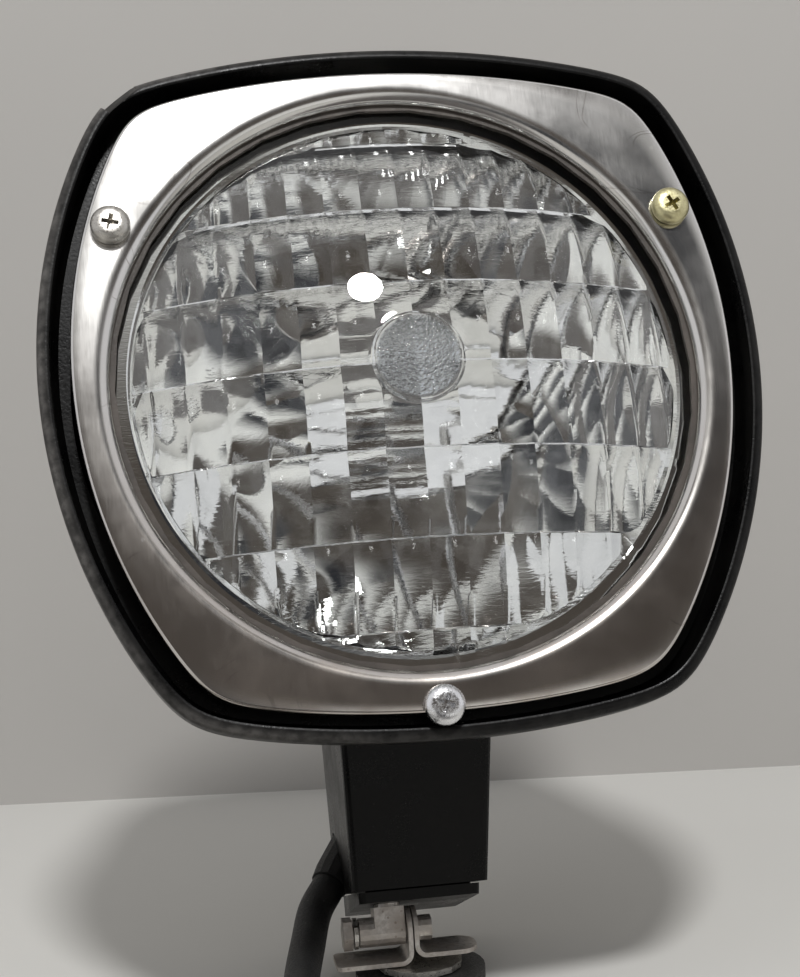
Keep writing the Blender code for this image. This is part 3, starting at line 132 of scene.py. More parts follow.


# %% [markdown]
# ## Cord
# The cord is a round black lead, 7 mm thick. It leaves the neck's left side through a bush, bends
# down to the surface and runs forward out of the picture, where the rest lies in a neat tied coil
# that ends in a two-pole connector. Its line is one smooth curve. The coil is two and a half turns
# whose strands lie beside and on each other, a cord's thickness apart, and pass over the incoming
# strand in long low humps.

# %% Cord line
CORD_RADIUS = 0.0035
CORD_ROUTE = [
    (-0.01642, 0.01120, 0.01712),
    (-0.01994, 0.00627, 0.01360),
    (-0.0224, -0.0025, 0.0099),
    (-0.0246, -0.0115, 0.0067),
    (-0.0262, -0.0215, 0.0045),
    (-0.0298, -0.0320, 0.0038),
    (-0.0343, -0.0425, 0.0038),
    (-0.0355, -0.0521, 0.0038),
]
COIL_CENTRE = (-0.0745, -0.0820)
COIL_RADIUS = 0.0390
COIL_SPACING = 0.0071
COIL_LOW = 0.00475
CONNECTOR_NOSE = (-0.1135, -0.0505, 0.0048)
INNER, OUTER = -0.5, 0.5
LOWER, UPPER = 0.0, 1.0
COIL_KEYS = [
    (0.00, INNER, LOWER), (0.60, INNER, LOWER), (0.92, INNER, UPPER), (1.30, INNER, UPPER),
    (1.55, OUTER, UPPER), (1.62, OUTER, UPPER), (1.78, OUTER, LOWER), (1.80, OUTER, LOWER),
    (1.93, OUTER, UPPER), (2.03, OUTER, UPPER), (2.33, OUTER, LOWER), (2.50, OUTER, LOWER),
]
STEPS_PER_TURN = 56


def curve_through(route, per_span):
    """Points on a smooth curve through the route's own points."""
    route = [Vector(point) for point in route]
    ends = [2 * route[0] - route[1]] + route + [2 * route[-1] - route[-2]]
    points = []
    for before, start, end, after in zip(ends, ends[1:], ends[2:], ends[3:]):
        for step in range(per_span):
            t = step / per_span
            bend = (2 * before - 5 * start + 4 * end - after) * t**2
            twist = (3 * start - before - 3 * end + after) * t**3
            points.append(0.5 * (2 * start + (end - before) * t + bend + twist))
    return points + [route[-1]]


def coil_point(turn):
    """The cord's place in the coil after some turns, clockwise from the coil's right side."""
    for (t0, side0, layer0), (t1, side1, layer1) in zip(COIL_KEYS, COIL_KEYS[1:]):
        if turn <= t1:
            share = smoothstep((turn - t0) / (t1 - t0))
            break
    radius = COIL_RADIUS + COIL_SPACING * (side0 + (side1 - side0) * share)
    height = COIL_LOW + COIL_SPACING * (layer0 + (layer1 - layer0) * share)
    angle = -2 * math.pi * turn
    x = COIL_CENTRE[0] + radius * math.cos(angle)
    return Vector((x, COIL_CENTRE[1] + radius * math.sin(angle), height))


def eased(start, end, steps):
    """Points between two places that both head the same way along Y."""
    points = []
    for step in range(1, steps):
        share = step / steps
        point = start.lerp(end, smoothstep(share))
        point.y = start.y + (end.y - start.y) * share
        points.append(point)
    return points


def cord_line():
    lead = curve_through(CORD_ROUTE, 6)
    turns = COIL_KEYS[-1][0]
    count = round(turns * STEPS_PER_TURN)
    coil = [coil_point(turns * i / count) for i in range(count + 1)]
    nose = Vector(CONNECTOR_NOSE)
    line = lead + eased(lead[-1], coil[0], 8) + coil + eased(coil[-1], nose, 8) + [nose]
    return line


CORD_LINE = cord_line()
CORD_LENGTH = sum((b - a).length for a, b in zip(CORD_LINE, CORD_LINE[1:]))
print("cord", round(CORD_LENGTH, 4), "m along", len(CORD_LINE), "points")

# %% [markdown]
# A tube needs a frame at each point that doesn't spin as the line turns. Each frame here is the
# last one, turned by the least angle that brings it onto the new direction.

# %% Cord tube
CORD_SIDES = 16


def tube(line, radius, sides):
    """A capped tube round a line of points."""
    across = None
    rings = []
    for i, point in enumerate(line):
        along = (line[min(i + 1, len(line) - 1)] - line[max(i - 1, 0)]).normalized()
        across = along.orthogonal() if across is None else across - along * across.dot(along)
        across = across.normalized()
        other = along.cross(across)
        ring = []
        for k in range(sides):
            angle = 2 * math.pi * k / sides
            ring.append(point + radius * (across * math.cos(angle) + other * math.sin(angle)))
        rings.append(ring)
    return skin(rings)


cord = new_piece("cord", tube(CORD_LINE, CORD_RADIUS, CORD_SIDES), 50.0)
print("cord tube", len(cord.data.polygons), "faces")

# %% [markdown]
# ## The lamp's own frame
# The head leans back, so its pieces are drawn in the lamp's frame: X to the right, Y back along
# the lamp's axis, Z up, with the origin in the middle of the bezel's front. One matrix takes them
# to the world, and it goes into the meshes, so that every object stays at the origin.

# %% Lamp frame
HEAD_LEAN = math.radians(17.0)
TILT_AXIS = Vector((0.0, 0.0, 0.0103))
TILT_AXIS_IN_LAMP = Vector((0.0, 0.0570, -0.097929))
LAMP = (
    Matrix.Translation(TILT_AXIS)
    @ Matrix.Rotation(-HEAD_LEAN, 4, "X")
    @ Matrix.Translation(-TILT_AXIS_IN_LAMP)
)


def lamp_piece(name, shape, sharp=35.0):
    """A piece drawn in the lamp's frame, put in the world."""
    bmesh.ops.transform(shape, matrix=LAMP, verts=shape.verts)
    return new_piece(name, shape, sharp)


def turned(profile, steps):
    """A closed body turned about the lamp's axis from pairs of radius and distance back."""
    rings = []
    for radius, y in profile:
        if radius < 1e-9:
            radius = 1e-7
        angles = [2 * math.pi * i / steps for i in range(steps)]
        rings.append([(radius * math.cos(a), y, radius * math.sin(a)) for a in angles])
    return skin(rings)


print("bezel centre in the world", [round(c, 4) for c in LAMP @ Vector()])

# %% [markdown]
# ## Outline of the bezel and the housing
# Seen from the front, the bezel is four big arcs with softly rounded corners. The housing's rim
# repeats the same outline a few millimetres further out. A soft minimum of the distances to the
# four arcs rounds the corners without a seam.

# %% Outline
HALF_WIDTH, SIDE_ARC, SIDE_ARC_Z = 0.0607, 0.0996, 0.0042
TOP, TOP_ARC = 0.0599, 0.177
BOTTOM, BOTTOM_ARC = 0.0616, 0.190
CORNER_SHARPNESS = 35
RIM_SIDE, RIM_TOP, RIM_BOTTOM = 0.0060, 0.0054, 0.0047
CHIP_START, CHIP_END = 128.6, 134.2
FINE_STEPS = [CHIP_START - 0.2 + 0.2 * i for i in range(round((CHIP_END - CHIP_START) / 0.2) + 3)]
ANGLES = [math.radians(a) for a in sorted([float(i) for i in range(360)] + FINE_STEPS)]
ROUND_STEPS = len(ANGLES)


def arc_reach(angle, centre_x, centre_z, radius):
    along = math.cos(angle) * centre_x + math.sin(angle) * centre_z
    return along + math.sqrt(along**2 - centre_x**2 - centre_z**2 + radius**2)


def outline_reach(angle, side, top, bottom):
    """Distance from the lamp's axis to the outline, grown by some on each side."""
    half, side_arc = HALF_WIDTH + side, SIDE_ARC + side
    top_arc, bottom_arc = TOP_ARC + top, BOTTOM_ARC + bottom
    reaches = [
        arc_reach(angle, half - side_arc, SIDE_ARC_Z, side_arc),
        arc_reach(angle, side_arc - half, SIDE_ARC_Z, side_arc),
        arc_reach(angle, 0.0, TOP + top - top_arc, top_arc),
        arc_reach(angle, 0.0, bottom_arc - BOTTOM - bottom, bottom_arc),
    ]
    nearest = min(reaches)
    total = sum((nearest / reach) ** CORNER_SHARPNESS for reach in reaches)
    return nearest * total ** (-1.0 / CORNER_SHARPNESS)


def round_ring(reaches, y):
    return [(r * math.cos(a), y, r * math.sin(a)) for r, a in zip(reaches, ANGLES)]


def bezel_reaches(grow):
    return [outline_reach(a, grow, grow, grow) for a in ANGLES]


def rim_reaches(grow):
    return [outline_reach(a, RIM_SIDE + grow, RIM_TOP + grow, RIM_BOTTOM + grow) for a in ANGLES]


print("bezel width", round(2 * HALF_WIDTH, 4), "rim width", round(2 * (HALF_WIDTH + RIM_SIDE), 4))

# %% [markdown]
# ## Bezel
# The bezel is thin stainless sheet: a flat face, a skirt turned back round its outside, and a
# hole whose edge is rolled inwards onto the glass. Its section is walked once round, front then
# back, and every stop on that walk becomes a ring.

# %% Bezel
SHEET = 0.0008
SKIRT = 0.0022
HOLE_RADIUS = 0.0540
ROLL_WIDTH, ROLL_DEPTH = 0.0030, 0.0020
BEZEL_ROUND = 0.0007
ROLL_STEPS = 8


def bezel_rings():
    rings = []
    roll_out = HOLE_RADIUS + ROLL_WIDTH
    for i in range(ROLL_STEPS + 1):
        angle = math.pi / 2 * (1 - i / ROLL_STEPS)
        radius = roll_out - ROLL_WIDTH * math.sin(angle)
        rings.append(round_ring([radius] * ROUND_STEPS, ROLL_DEPTH * (1 - math.cos(angle))))
    flat_edge = bezel_reaches(-BEZEL_ROUND)
    for share in (0.33, 0.66):
        rings.append(round_ring([roll_out + (r - roll_out) * share for r in flat_edge], 0.0))
    for i in range(5):
        angle = math.pi / 2 * i / 4
        inset = BEZEL_ROUND * (1 - math.sin(angle))
        rings.append(round_ring(bezel_reaches(-inset), BEZEL_ROUND * (1 - math.cos(angle))))
    rings.append(round_ring(bezel_reaches(0.0), SKIRT))
    rings.append(round_ring(bezel_reaches(-SHEET), SKIRT))
    rings.append(round_ring(bezel_reaches(-SHEET), SHEET))
    for i in range(ROLL_STEPS + 1):
        angle = math.pi / 2 * i / ROLL_STEPS
        radius = roll_out - (ROLL_WIDTH - SHEET) * math.sin(angle)
        depth = SHEET + (ROLL_DEPTH - SHEET) * (1 - math.cos(angle))
        rings.append(round_ring([radius] * ROUND_STEPS, depth))
    return rings


bezel = lamp_piece("bezel_skin", skin(bezel_rings(), hoop=True), 50.0)
dress(bezel, "head", "stainless", "bezel")

# %% [markdown]
# ## Housing
# The housing is a moulded shell: a stepped rim round the front, sides that taper a little, and a
# domed back. It is drawn from the inside out, through rings of the same grown outline. A thin shelf
# behind the bezel keeps the gap between the two dark. The rim has had a knock: a flat chip at its
# upper left corner, a plane that the rim's points may not pass on a short stretch. A point
# attribute marks the rim's front, and the finish uses it for scuffs.

# %% Housing
RIM_SETBACK, RIM_BAND, RIM_STEP, RIM_ROUND = 0.0005, 0.0050, 0.0012, 0.0017
RIM_SOFT = 0.0004
WALL, SHOULDER, DRAFT = 0.0024, 0.0450, 0.0034
BACK_Y, DOME_INSET, DOME_SWEEP = 0.0732, 0.0330, math.radians(80.0)
DOME_STEPS = 12
CHIP_CUT, CHIP_TILT = 0.0024, math.radians(42.0)
SHELF_RADIUS, SHELF_Y, SHELF_THICK = 0.0612, 0.0070, 0.0010


def housing_stops(inset, back_y):
    """Pairs of inset and distance back from behind the rim's front to the domed back."""
    body = RIM_STEP + DRAFT + inset
    stops = [(inset, RIM_BAND), (RIM_STEP * 0.7 + inset, RIM_BAND + RIM_STEP * 0.25)]
    stops += [(RIM_STEP + inset, RIM_BAND + RIM_STEP), (body, SHOULDER)]
    depth = (back_y - SHOULDER) / math.sin(DOME_SWEEP)
    for i in range(1, DOME_STEPS + 1):
        angle = DOME_SWEEP * i / DOME_STEPS
        stops.append((body + DOME_INSET * (1 - math.cos(angle)), SHOULDER + depth * math.sin(angle)))
    return stops


def housing_rings():
    """Rings from the inner back, round the rim's front, to the outer back."""
    front = RIM_SETBACK
    inner = housing_stops(WALL, BACK_Y - WALL)
    rings = [round_ring(rim_reaches(-inset), y) for inset, y in reversed(inner)]
    shelf = [SHELF_RADIUS] * ROUND_STEPS
    shelf_edge = rim_reaches(-WALL - RIM_STEP)
    rings = [ring for ring in rings if ring[0][1] > SHELF_Y + SHELF_THICK]
    rings.append(round_ring(shelf_edge, SHELF_Y + SHELF_THICK))
    rings += [round_ring(shelf, SHELF_Y + SHELF_THICK), round_ring(shelf, SHELF_Y)]
    rings.append(round_ring(shelf_edge, SHELF_Y))
    rings.append(round_ring(rim_reaches(-WALL), RIM_BAND))
    rings.append(round_ring(rim_reaches(-WALL), front + RIM_SOFT))
    rings.append(round_ring(rim_reaches(-WALL + RIM_SOFT * 0.3), front + RIM_SOFT * 0.3))
    rings.append(round_ring(rim_reaches(-WALL + RIM_SOFT), front))
    for i in range(9):
        angle = math.pi / 2 * i / 8
        inset = RIM_ROUND * (1 - math.sin(angle))
        rings.append(round_ring(rim_reaches(-inset), front + RIM_ROUND * (1 - math.cos(angle))))
    rings += [round_ring(rim_reaches(-inset), y) for inset, y in housing_stops(0.0, BACK_Y)]
    return rings


def chip(rings):
    """Presses the rim's points back to a flat facet on a short stretch of the upper left corner."""
    middle = math.radians((CHIP_START + CHIP_END) / 2)
    half = math.radians((CHIP_END - CHIP_START) / 2)
    reach = outline_reach(middle, RIM_SIDE, RIM_TOP, RIM_BOTTOM)
    out = Vector((math.cos(middle), 0.0, math.sin(middle)))
    face = out * math.cos(CHIP_TILT) - Vector((0.0, 1.0, 0.0)) * math.sin(CHIP_TILT)
    on_face = out * (reach - CHIP_CUT) + Vector((0.0, RIM_SETBACK, 0.0))
    cut = []
    for ring in rings:
        points = [Vector(point) for point in ring]
        for point, angle in zip(points, ANGLES):
            past = (point - on_face).dot(face)
            if past > 0 and point.y < RIM_BAND and abs(angle - middle) < half:
                point -= face * past
        cut.append(points)
    return cut


housing = lamp_piece("housing_skin", skin(chip(housing_rings())), 40.0)


def mark_rim(piece):
    """Stores how near each point is to the rim's outer front edge."""
    to_lamp = LAMP.inverted()
    edge = piece.data.attributes.new("rim_edge", "FLOAT", "POINT")
    for vertex, mark in zip(piece.data.vertices, edge.data):
        place = to_lamp @ vertex.co
        angle = math.atan2(place.z, place.x)
        gap = outline_reach(angle, RIM_SIDE, RIM_TOP, RIM_BOTTOM) - math.hypot(place.x, place.z)
        near_front = 1.0 - smoothstep((place.y - RIM_SETBACK) / (1.6 * RIM_ROUND))
        mark.value = near_front * (1.0 - smoothstep(gap / WALL))


mark_rim(housing)
dress(housing, "head", "black_plastic", "housing")

# %% [markdown]
# ## Lens
# The lens is the lamp's main piece and follows a rule, so a Geometry Nodes tree makes it. Its
# front is a plain dome with a bare round button. Its back carries a grid of pillows: columns that
# bulge backwards, and rows that are hollow from edge to edge and step where they meet. One grid
# draws the back: whole numbers of steps per pillow keep the creases on grid lines, and points
# outside the lens are slid onto its edge, where they merge. That sheet closes a block, and the
# block is cut from the turned glass.

# %% Node tree helpers
def link_value(tree, value, socket):
    """Joins an output to a socket, or sets a plain value on it."""
    if isinstance(value, bpy.types.NodeSocket):
        tree.links.new(value, socket)
    else:
        socket.default_value = value


def add(tree, kind, sockets=None, **fields):
    """One node with its fields set and its sockets filled, by name or number."""
    made = tree.nodes.new(kind)
    for field, value in fields.items():
        setattr(made, field, value)
    for key, value in (sockets or {}).items():
        link_value(tree, value, made.inputs[key])
    return made


def calc(tree, operation, *values):
    """One math node's result."""
    made = add(tree, "ShaderNodeMath", dict(enumerate(values)), operation=operation)
    return made.outputs[0]


def shape_tree(name, inputs):
    """A geometry tree with named inputs; gives the tree and its input sockets by name."""
    tree = bpy.data.node_groups.new(name, "GeometryNodeTree")
    tree.interface.new_socket("Geometry", in_out="OUTPUT", socket_type="NodeSocketGeometry")
    for label, kind, value in inputs:
        made = tree.interface.new_socket(label, in_out="INPUT", socket_type=kind)
        if value is not None:
            made.default_value = value
    start = tree.nodes.new("NodeGroupInput")
    return tree, {s.name: s for s in start.outputs if s.name}


def end_tree(tree, geometry, material):
    """Realises instances, sets the material and joins the tree's output."""
    real = add(tree, "GeometryNodeRealizeInstances", {"Geometry": geometry})
    painted = add(
        tree, "GeometryNodeSetMaterial", {"Geometry": real.outputs[0], "Material": material}
    )
    add(tree, "NodeGroupOutput", {"Geometry": painted.outputs[0]})


def grow(tree, name, values):
    """A plain bmesh and its material from a geometry tree, with the named inputs set."""
    seed = bpy.data.objects.new(name + "_seed", bpy.data.meshes.new(name + "_seed"))
    bpy.context.scene.collection.objects.link(seed)
    modifier = seed.modifiers.new("tree", "NODES")
    modifier.node_group = tree
    for socket in tree.interface.items_tree:
        if socket.in_out == "INPUT" and socket.name in values:
            modifier[socket.identifier] = values[socket.name]
    ready = seed.evaluated_get(bpy.context.evaluated_depsgraph_get())
    mesh = bpy.data.meshes.new_from_object(ready)
    seed.modifiers.remove(modifier)
    shape = bmesh.new()
    shape.from_mesh(mesh)
    bpy.data.objects.remove(seed, do_unlink=True)
    bpy.data.meshes.remove(mesh)
    return shape


print("node helpers ready")

# %% Lens sizes
LAMP_RADIUS = 0.05715
DOME_RADIUS, DOME_RISE = 0.0512, 0.0130
DOME_SPHERE = (DOME_RADIUS**2 + DOME_RISE**2) / (2 * DOME_RISE)
FLANGE_Y, FLANGE_BACK_Y = 0.0036, 0.0062
APEX_Y = FLANGE_Y - DOME_RISE
GLASS = 0.0034
FLUTED_RADIUS = 0.0496
FLUTE_PITCH, FLUTE_DEPTH = 0.0067, 0.00047
ROW_PITCH, ROW_HOLLOW, ROW_STEP = 0.0153, 0.0013, 0.0007
BACK_LIMIT = 0.0070
BUTTON_RADIUS, BUTTON_RISE = 0.0083, 0.0006
FLUTE_CELLS, ROW_LINES = 10, 14
COLUMNS, ROWS = 16, 8


def glass_profile():
    """The lens without its pillows: flange, dome and button, from the back's middle round."""
    def dome(radius):
        return APEX_Y + DOME_SPHERE - math.sqrt(DOME_SPHERE**2 - radius**2)

    soft = BUTTON_RISE * 0.5
    points = [(0.0, FLANGE_BACK_Y), (LAMP_RADIUS, FLANGE_BACK_Y), (LAMP_RADIUS, FLANGE_Y + soft)]
    points += [(LAMP_RADIUS - soft, FLANGE_Y)]
    steps = 40
    for i in range(steps + 1):
        radius = DOME_RADIUS * (1 - i / steps)
        if radius > BUTTON_RADIUS + soft:
            points.append((radius, dome(radius)))
    points += [(BUTTON_RADIUS + soft * 0.6, dome(BUTTON_RADIUS) - soft * 0.2)]
    points += [(BUTTON_RADIUS, dome(BUTTON_RADIUS) - soft)]
    points += [(BUTTON_RADIUS - soft, dome(BUTTON_RADIUS) - BUTTON_RISE)]
    points += [(BUTTON_RADIUS * 0.5, APEX_Y - BUTTON_RISE * 0.9), (0.0, APEX_Y - BUTTON_RISE * 0.9)]
    return points


print("dome sphere radius", round(DOME_SPHERE, 4), "m, pillows", COLUMNS, "by", ROWS)

# %% Lens tree
FLOAT, OBJECT, MATERIAL = "NodeSocketFloat", "NodeSocketObject", "NodeSocketMaterial"


def lens_tree():
    tree, given = shape_tree(
        "pillow_lens",
        [
            ("Glass body", OBJECT, None),
            ("Fluted radius", FLOAT, FLUTED_RADIUS),
            ("Dome sphere", FLOAT, DOME_SPHERE),
            ("Apex", FLOAT, APEX_Y),
            ("Thickness", FLOAT, GLASS),
            ("Flute pitch", FLOAT, FLUTE_PITCH),
            ("Flute depth", FLOAT, FLUTE_DEPTH),
            ("Row pitch", FLOAT, ROW_PITCH),
            ("Row hollow", FLOAT, ROW_HOLLOW),
            ("Row step", FLOAT, ROW_STEP),
            ("Back limit", FLOAT, BACK_LIMIT),
            ("Back", FLOAT, FLANGE_BACK_Y + 2 * GLASS),
            ("Material", MATERIAL, None),
        ],
    )
    math_node = partial(calc, tree)
    across, lines = COLUMNS * FLUTE_CELLS, ROWS * ROW_LINES
    grid = add(
        tree,
        "GeometryNodeMeshGrid",
        {"Size X": across, "Size Y": lines - 1, "Vertices X": across + 1, "Vertices Y": lines},
    )
    place = add(tree, "GeometryNodeInputPosition").outputs[0]
    split = add(tree, "ShaderNodeSeparateXYZ", {"Vector": place})
    radius = given["Fluted radius"]
    column = math_node("DIVIDE", split.outputs["X"], float(FLUTE_CELLS))
    line = math_node("ROUND", math_node("ADD", split.outputs["Y"], (lines - 1) / 2))
    row = math_node("FLOOR", math_node("DIVIDE", math_node("ADD", line, 0.5), float(ROW_LINES)))
    local = math_node("SUBTRACT", line, math_node("MULTIPLY", row, float(ROW_LINES)))
    share = math_node("DIVIDE", local, float(ROW_LINES - 1))
    kept = math_node("ADD", math_node("MULTIPLY", share, 0.992), 0.004)
    height = math_node("MULTIPLY", math_node("ADD", math_node("SUBTRACT", row, ROWS / 2), kept),
                  given["Row pitch"])
    height = math_node("MAXIMUM", math_node("MINIMUM", height, radius),
                  math_node("MULTIPLY", radius, -1.0))
    gap = math_node("SUBTRACT", math_node("POWER", radius, 2.0), math_node("POWER", height, 2.0))
    limit = math_node("SQRT", math_node("MAXIMUM", gap, 0.0))
    x = math_node("MULTIPLY", column, given["Flute pitch"])
    x = math_node("MAXIMUM", math_node("MINIMUM", x, limit), math_node("MULTIPLY", limit, -1.0))

    sphere = given["Dome sphere"]
    r2 = math_node("ADD", math_node("POWER", x, 2.0), math_node("POWER", height, 2.0))
    fall = math_node("SQRT", math_node("SUBTRACT", math_node("POWER", sphere, 2.0), r2))
    wall = math_node("ADD", math_node("SUBTRACT", math_node("ADD", given["Apex"], sphere), fall),
                given["Thickness"])
    flute = math_node("FRACT", math_node("DIVIDE", x, given["Flute pitch"]))
    flute = math_node("SUBTRACT", math_node("MULTIPLY", flute, 2.0), 1.0)
    upward = math_node("SUBTRACT", math_node("MULTIPLY", share, 2.0), 1.0)
    depth = math_node("MULTIPLY", math_node("POWER", flute, 2.0), given["Flute depth"])
    depth = math_node("SUBTRACT", depth,
                 math_node("MULTIPLY", math_node("POWER", upward, 2.0), given["Row hollow"]))
    depth = math_node("ADD", depth,
                 math_node("MULTIPLY", math_node("SUBTRACT", 1.0, share), given["Row step"]))
    y = math_node("MINIMUM", math_node("SUBTRACT", wall, depth), given["Back limit"])

    front = add(tree, "ShaderNodeCombineXYZ", {"X": x, "Y": y, "Z": height}).outputs[0]
    sheet = add(tree, "GeometryNodeSetPosition", {"Geometry": grid.outputs["Mesh"], "Position": front})
    flat = add(tree, "ShaderNodeCombineXYZ", {"X": x, "Y": given["Back"], "Z": height}).outputs[0]
    cover = add(tree, "GeometryNodeSetPosition", {"Geometry": grid.outputs["Mesh"], "Position": flat})
    lid = add(tree, "GeometryNodeFlipFaces", {"Mesh": cover.outputs[0]})
    edge = add(tree, "GeometryNodeInputMeshEdgeNeighbors").outputs[0]
    rim = add(tree, "FunctionNodeCompare", {2: edge, 3: 1}, data_type="INT", operation="EQUAL")
    drop = math_node("SUBTRACT", given["Back"], add(
        tree, "ShaderNodeSeparateXYZ",
        {"Vector": add(tree, "GeometryNodeInputPosition").outputs[0]}).outputs["Y"])
    wall_mesh = add(
        tree,
        "GeometryNodeExtrudeMesh",
        {
            "Mesh": sheet.outputs[0],
            "Selection": rim.outputs[0],
            "Offset": add(tree, "ShaderNodeCombineXYZ", {"Y": drop}).outputs[0],
            "Offset Scale": 1.0,
        },
        mode="EDGES",
    )
    joined = add(tree, "GeometryNodeJoinGeometry")
    tree.links.new(wall_mesh.outputs["Mesh"], joined.inputs[0])
    tree.links.new(lid.outputs[0], joined.inputs[0])
    block = add(tree, "GeometryNodeMergeByDistance", {"Geometry": joined.outputs[0], "Distance": 2e-6})
    body = add(tree, "GeometryNodeObjectInfo", {"Object": given["Glass body"]})
    cut = add(
        tree,
        "GeometryNodeMeshBoolean",
        {"Mesh 1": body.outputs["Geometry"], "Mesh 2": block.outputs[0]},
        operation="DIFFERENCE",
        solver="EXACT",
    )
    end_tree(tree, cut.outputs["Mesh"], given["Material"])
    return tree


def make_lens():
    body = new_piece("glass_body", turned(glass_profile(), 144))
    shape = grow(lens_tree(), "lens", {"Glass body": body})
    bpy.data.objects.remove(body, do_unlink=True)
    return lamp_piece("lens_skin", shape, 26.0)


lens = make_lens()
dress(lens, "head", "lens_glass", "lens")

# %% [markdown]
# ## Reflector
# Behind the lens is a glass bowl whose inside is a mirrored parabola. The solid is right but its
# facets would show in a mirror, so the bowl is turned again with many more steps.

# %% Reflector
REFLECTOR_MOUTH, REFLECTOR_FOCUS, BOWL_WALL = 0.0504, 0.0150, 0.0026
REFLECTOR_Y, REFLECTOR_FLANGE = 0.0065, 0.0024
VERTEX_Y = REFLECTOR_Y + REFLECTOR_MOUTH**2 / (4 * REFLECTOR_FOCUS)
BOWL_BOSS = 0.0155


def bowl_profile():
    steps = 48
    radii = [REFLECTOR_MOUTH * i / steps for i in range(steps + 1)]
    inner = [(r, VERTEX_Y - r * r / (4 * REFLECTOR_FOCUS)) for r in radii]
    flange_back = REFLECTOR_Y + REFLECTOR_FLANGE
    outer = []
    for radius, y in inner:
        slope = math.atan2(radius, 2 * REFLECTOR_FOCUS)
        reach, back = radius + BOWL_WALL * math.sin(slope), y + BOWL_WALL * math.cos(slope)
        if reach > BOWL_BOSS and back > flange_back:
            outer.append((reach, back))
    back_y = VERTEX_Y + BOWL_WALL
    ends = [(outer[-1][0], flange_back), (LAMP_RADIUS, flange_back), (LAMP_RADIUS, REFLECTOR_Y)]
    return [(0.0, back_y), (BOWL_BOSS, back_y)] + outer + ends + inner[::-1]


reflector = lamp_piece("reflector_skin", turned(bowl_profile(), 144))
dress(reflector, "head", "mirror_glass", "reflector")

# %% [markdown]
# ## Screws
# Three pan-head screws hold the bezel. They have one shape and three finishes, so one small tree
# makes them: a domed head turned about its axis, with a cross recess cut by two tapered bars.

# %% Screw tree
HEAD_RADIUS, HEAD_HEIGHT, SHANK_RADIUS, SHANK_LENGTH = 0.0036, 0.0024, 0.00175, 0.0200
SCREW_CIRCLE = 0.0605
SCREW_ANGLES = {"left": 150.0, "right": 30.0, "bottom": 270.0}
RECESS_SPIN = {"left": 12.0, "right": -28.0, "bottom": 20.0}


def screw_profile():
    """Head and shank, from the shank's end round to the head's crown, as radius and height."""
    points = [(0.0, SHANK_LENGTH), (SHANK_RADIUS * 0.6, SHANK_LENGTH)]
    points += [(SHANK_RADIUS, SHANK_LENGTH - SHANK_RADIUS * 0.5), (SHANK_RADIUS, 0.0)]
    points += [(HEAD_RADIUS - 0.0002, 0.0), (HEAD_RADIUS, -0.0002), (HEAD_RADIUS, -HEAD_HEIGHT * 0.38)]
    for i in range(1, 9):
        angle = math.pi / 2 * i / 8
        radius = HEAD_RADIUS * (0.45 + 0.55 * math.cos(angle))
        points.append((radius, -HEAD_HEIGHT * (0.38 + 0.62 * math.sin(angle))))
    return points + [(0.0, -HEAD_HEIGHT * 1.0)]


def screw_tree():
    tree, given = shape_tree(
        "cross_recess_screw",
        [
            ("Blank", OBJECT, None),
            ("Arm length", FLOAT, 0.0042),
            ("Arm width", FLOAT, 0.0011),
            ("Depth", FLOAT, 0.0020),
            ("Head height", FLOAT, HEAD_HEIGHT),
            ("Material", MATERIAL, None),
        ],
    )
    blank = add(tree, "GeometryNodeObjectInfo", {"Object": given["Blank"]})
    size = add(tree, "ShaderNodeCombineXYZ", {"X": given["Arm length"], "Y": calc(
        tree, "MULTIPLY", given["Depth"], 2.0), "Z": given["Arm width"]})
    bar = add(tree, "GeometryNodeMeshCube", {"Size": size.outputs[0]})
    depth = add(tree, "ShaderNodeSeparateXYZ",
                {"Vector": add(tree, "GeometryNodeInputPosition").outputs[0]})
    inside = calc(tree, "GREATER_THAN", depth.outputs["Y"], 0.0)
    taper = calc(tree, "SUBTRACT", 1.0, calc(tree, "MULTIPLY", inside, 0.52))
    narrow = add(tree, "ShaderNodeCombineXYZ", {
        "X": calc(tree, "MULTIPLY", depth.outputs["X"], taper),
        "Y": calc(tree, "SUBTRACT", depth.outputs["Y"], given["Head height"]),
        "Z": calc(tree, "MULTIPLY", depth.outputs["Z"], taper)})
    wedge = add(tree, "GeometryNodeSetPosition",
                {"Geometry": bar.outputs["Mesh"], "Position": narrow.outputs[0]})
    crossed = add(tree, "GeometryNodeTransform",
                  {"Geometry": wedge.outputs[0], "Rotation": (0.0, math.pi / 2, 0.0)})
    cross = add(tree, "GeometryNodeMeshBoolean", operation="UNION", solver="EXACT")
    tree.links.new(wedge.outputs[0], cross.inputs["Mesh 2"])
    tree.links.new(crossed.outputs[0], cross.inputs["Mesh 2"])
    cut = add(
        tree,
        "GeometryNodeMeshBoolean",
        {"Mesh 1": blank.outputs["Geometry"], "Mesh 2": cross.outputs["Mesh"]},
        operation="DIFFERENCE",
        solver="EXACT",
    )
    end_tree(tree, cut.outputs["Mesh"], given["Material"])
    return tree


def make_screws():
    blank = new_piece("screw_blank", turned(screw_profile(), 40))
    tree = screw_tree()
    made = {}
    for side, degrees in SCREW_ANGLES.items():
        shape = grow(tree, "screw_" + side, {"Blank": blank})
        angle = math.radians(degrees)
        spin = Matrix.Rotation(math.radians(RECESS_SPIN[side]), 4, "Y")
        place = Vector((SCREW_CIRCLE * math.cos(angle), -0.0003, SCREW_CIRCLE * math.sin(angle)))
        bmesh.ops.transform(shape, matrix=Matrix.Translation(place) @ spin, verts=shape.verts)
        made[side] = lamp_piece("bezel_screw_%s_skin" % side, shape, 30.0)
    bpy.data.objects.remove(blank, do_unlink=True)
    return made


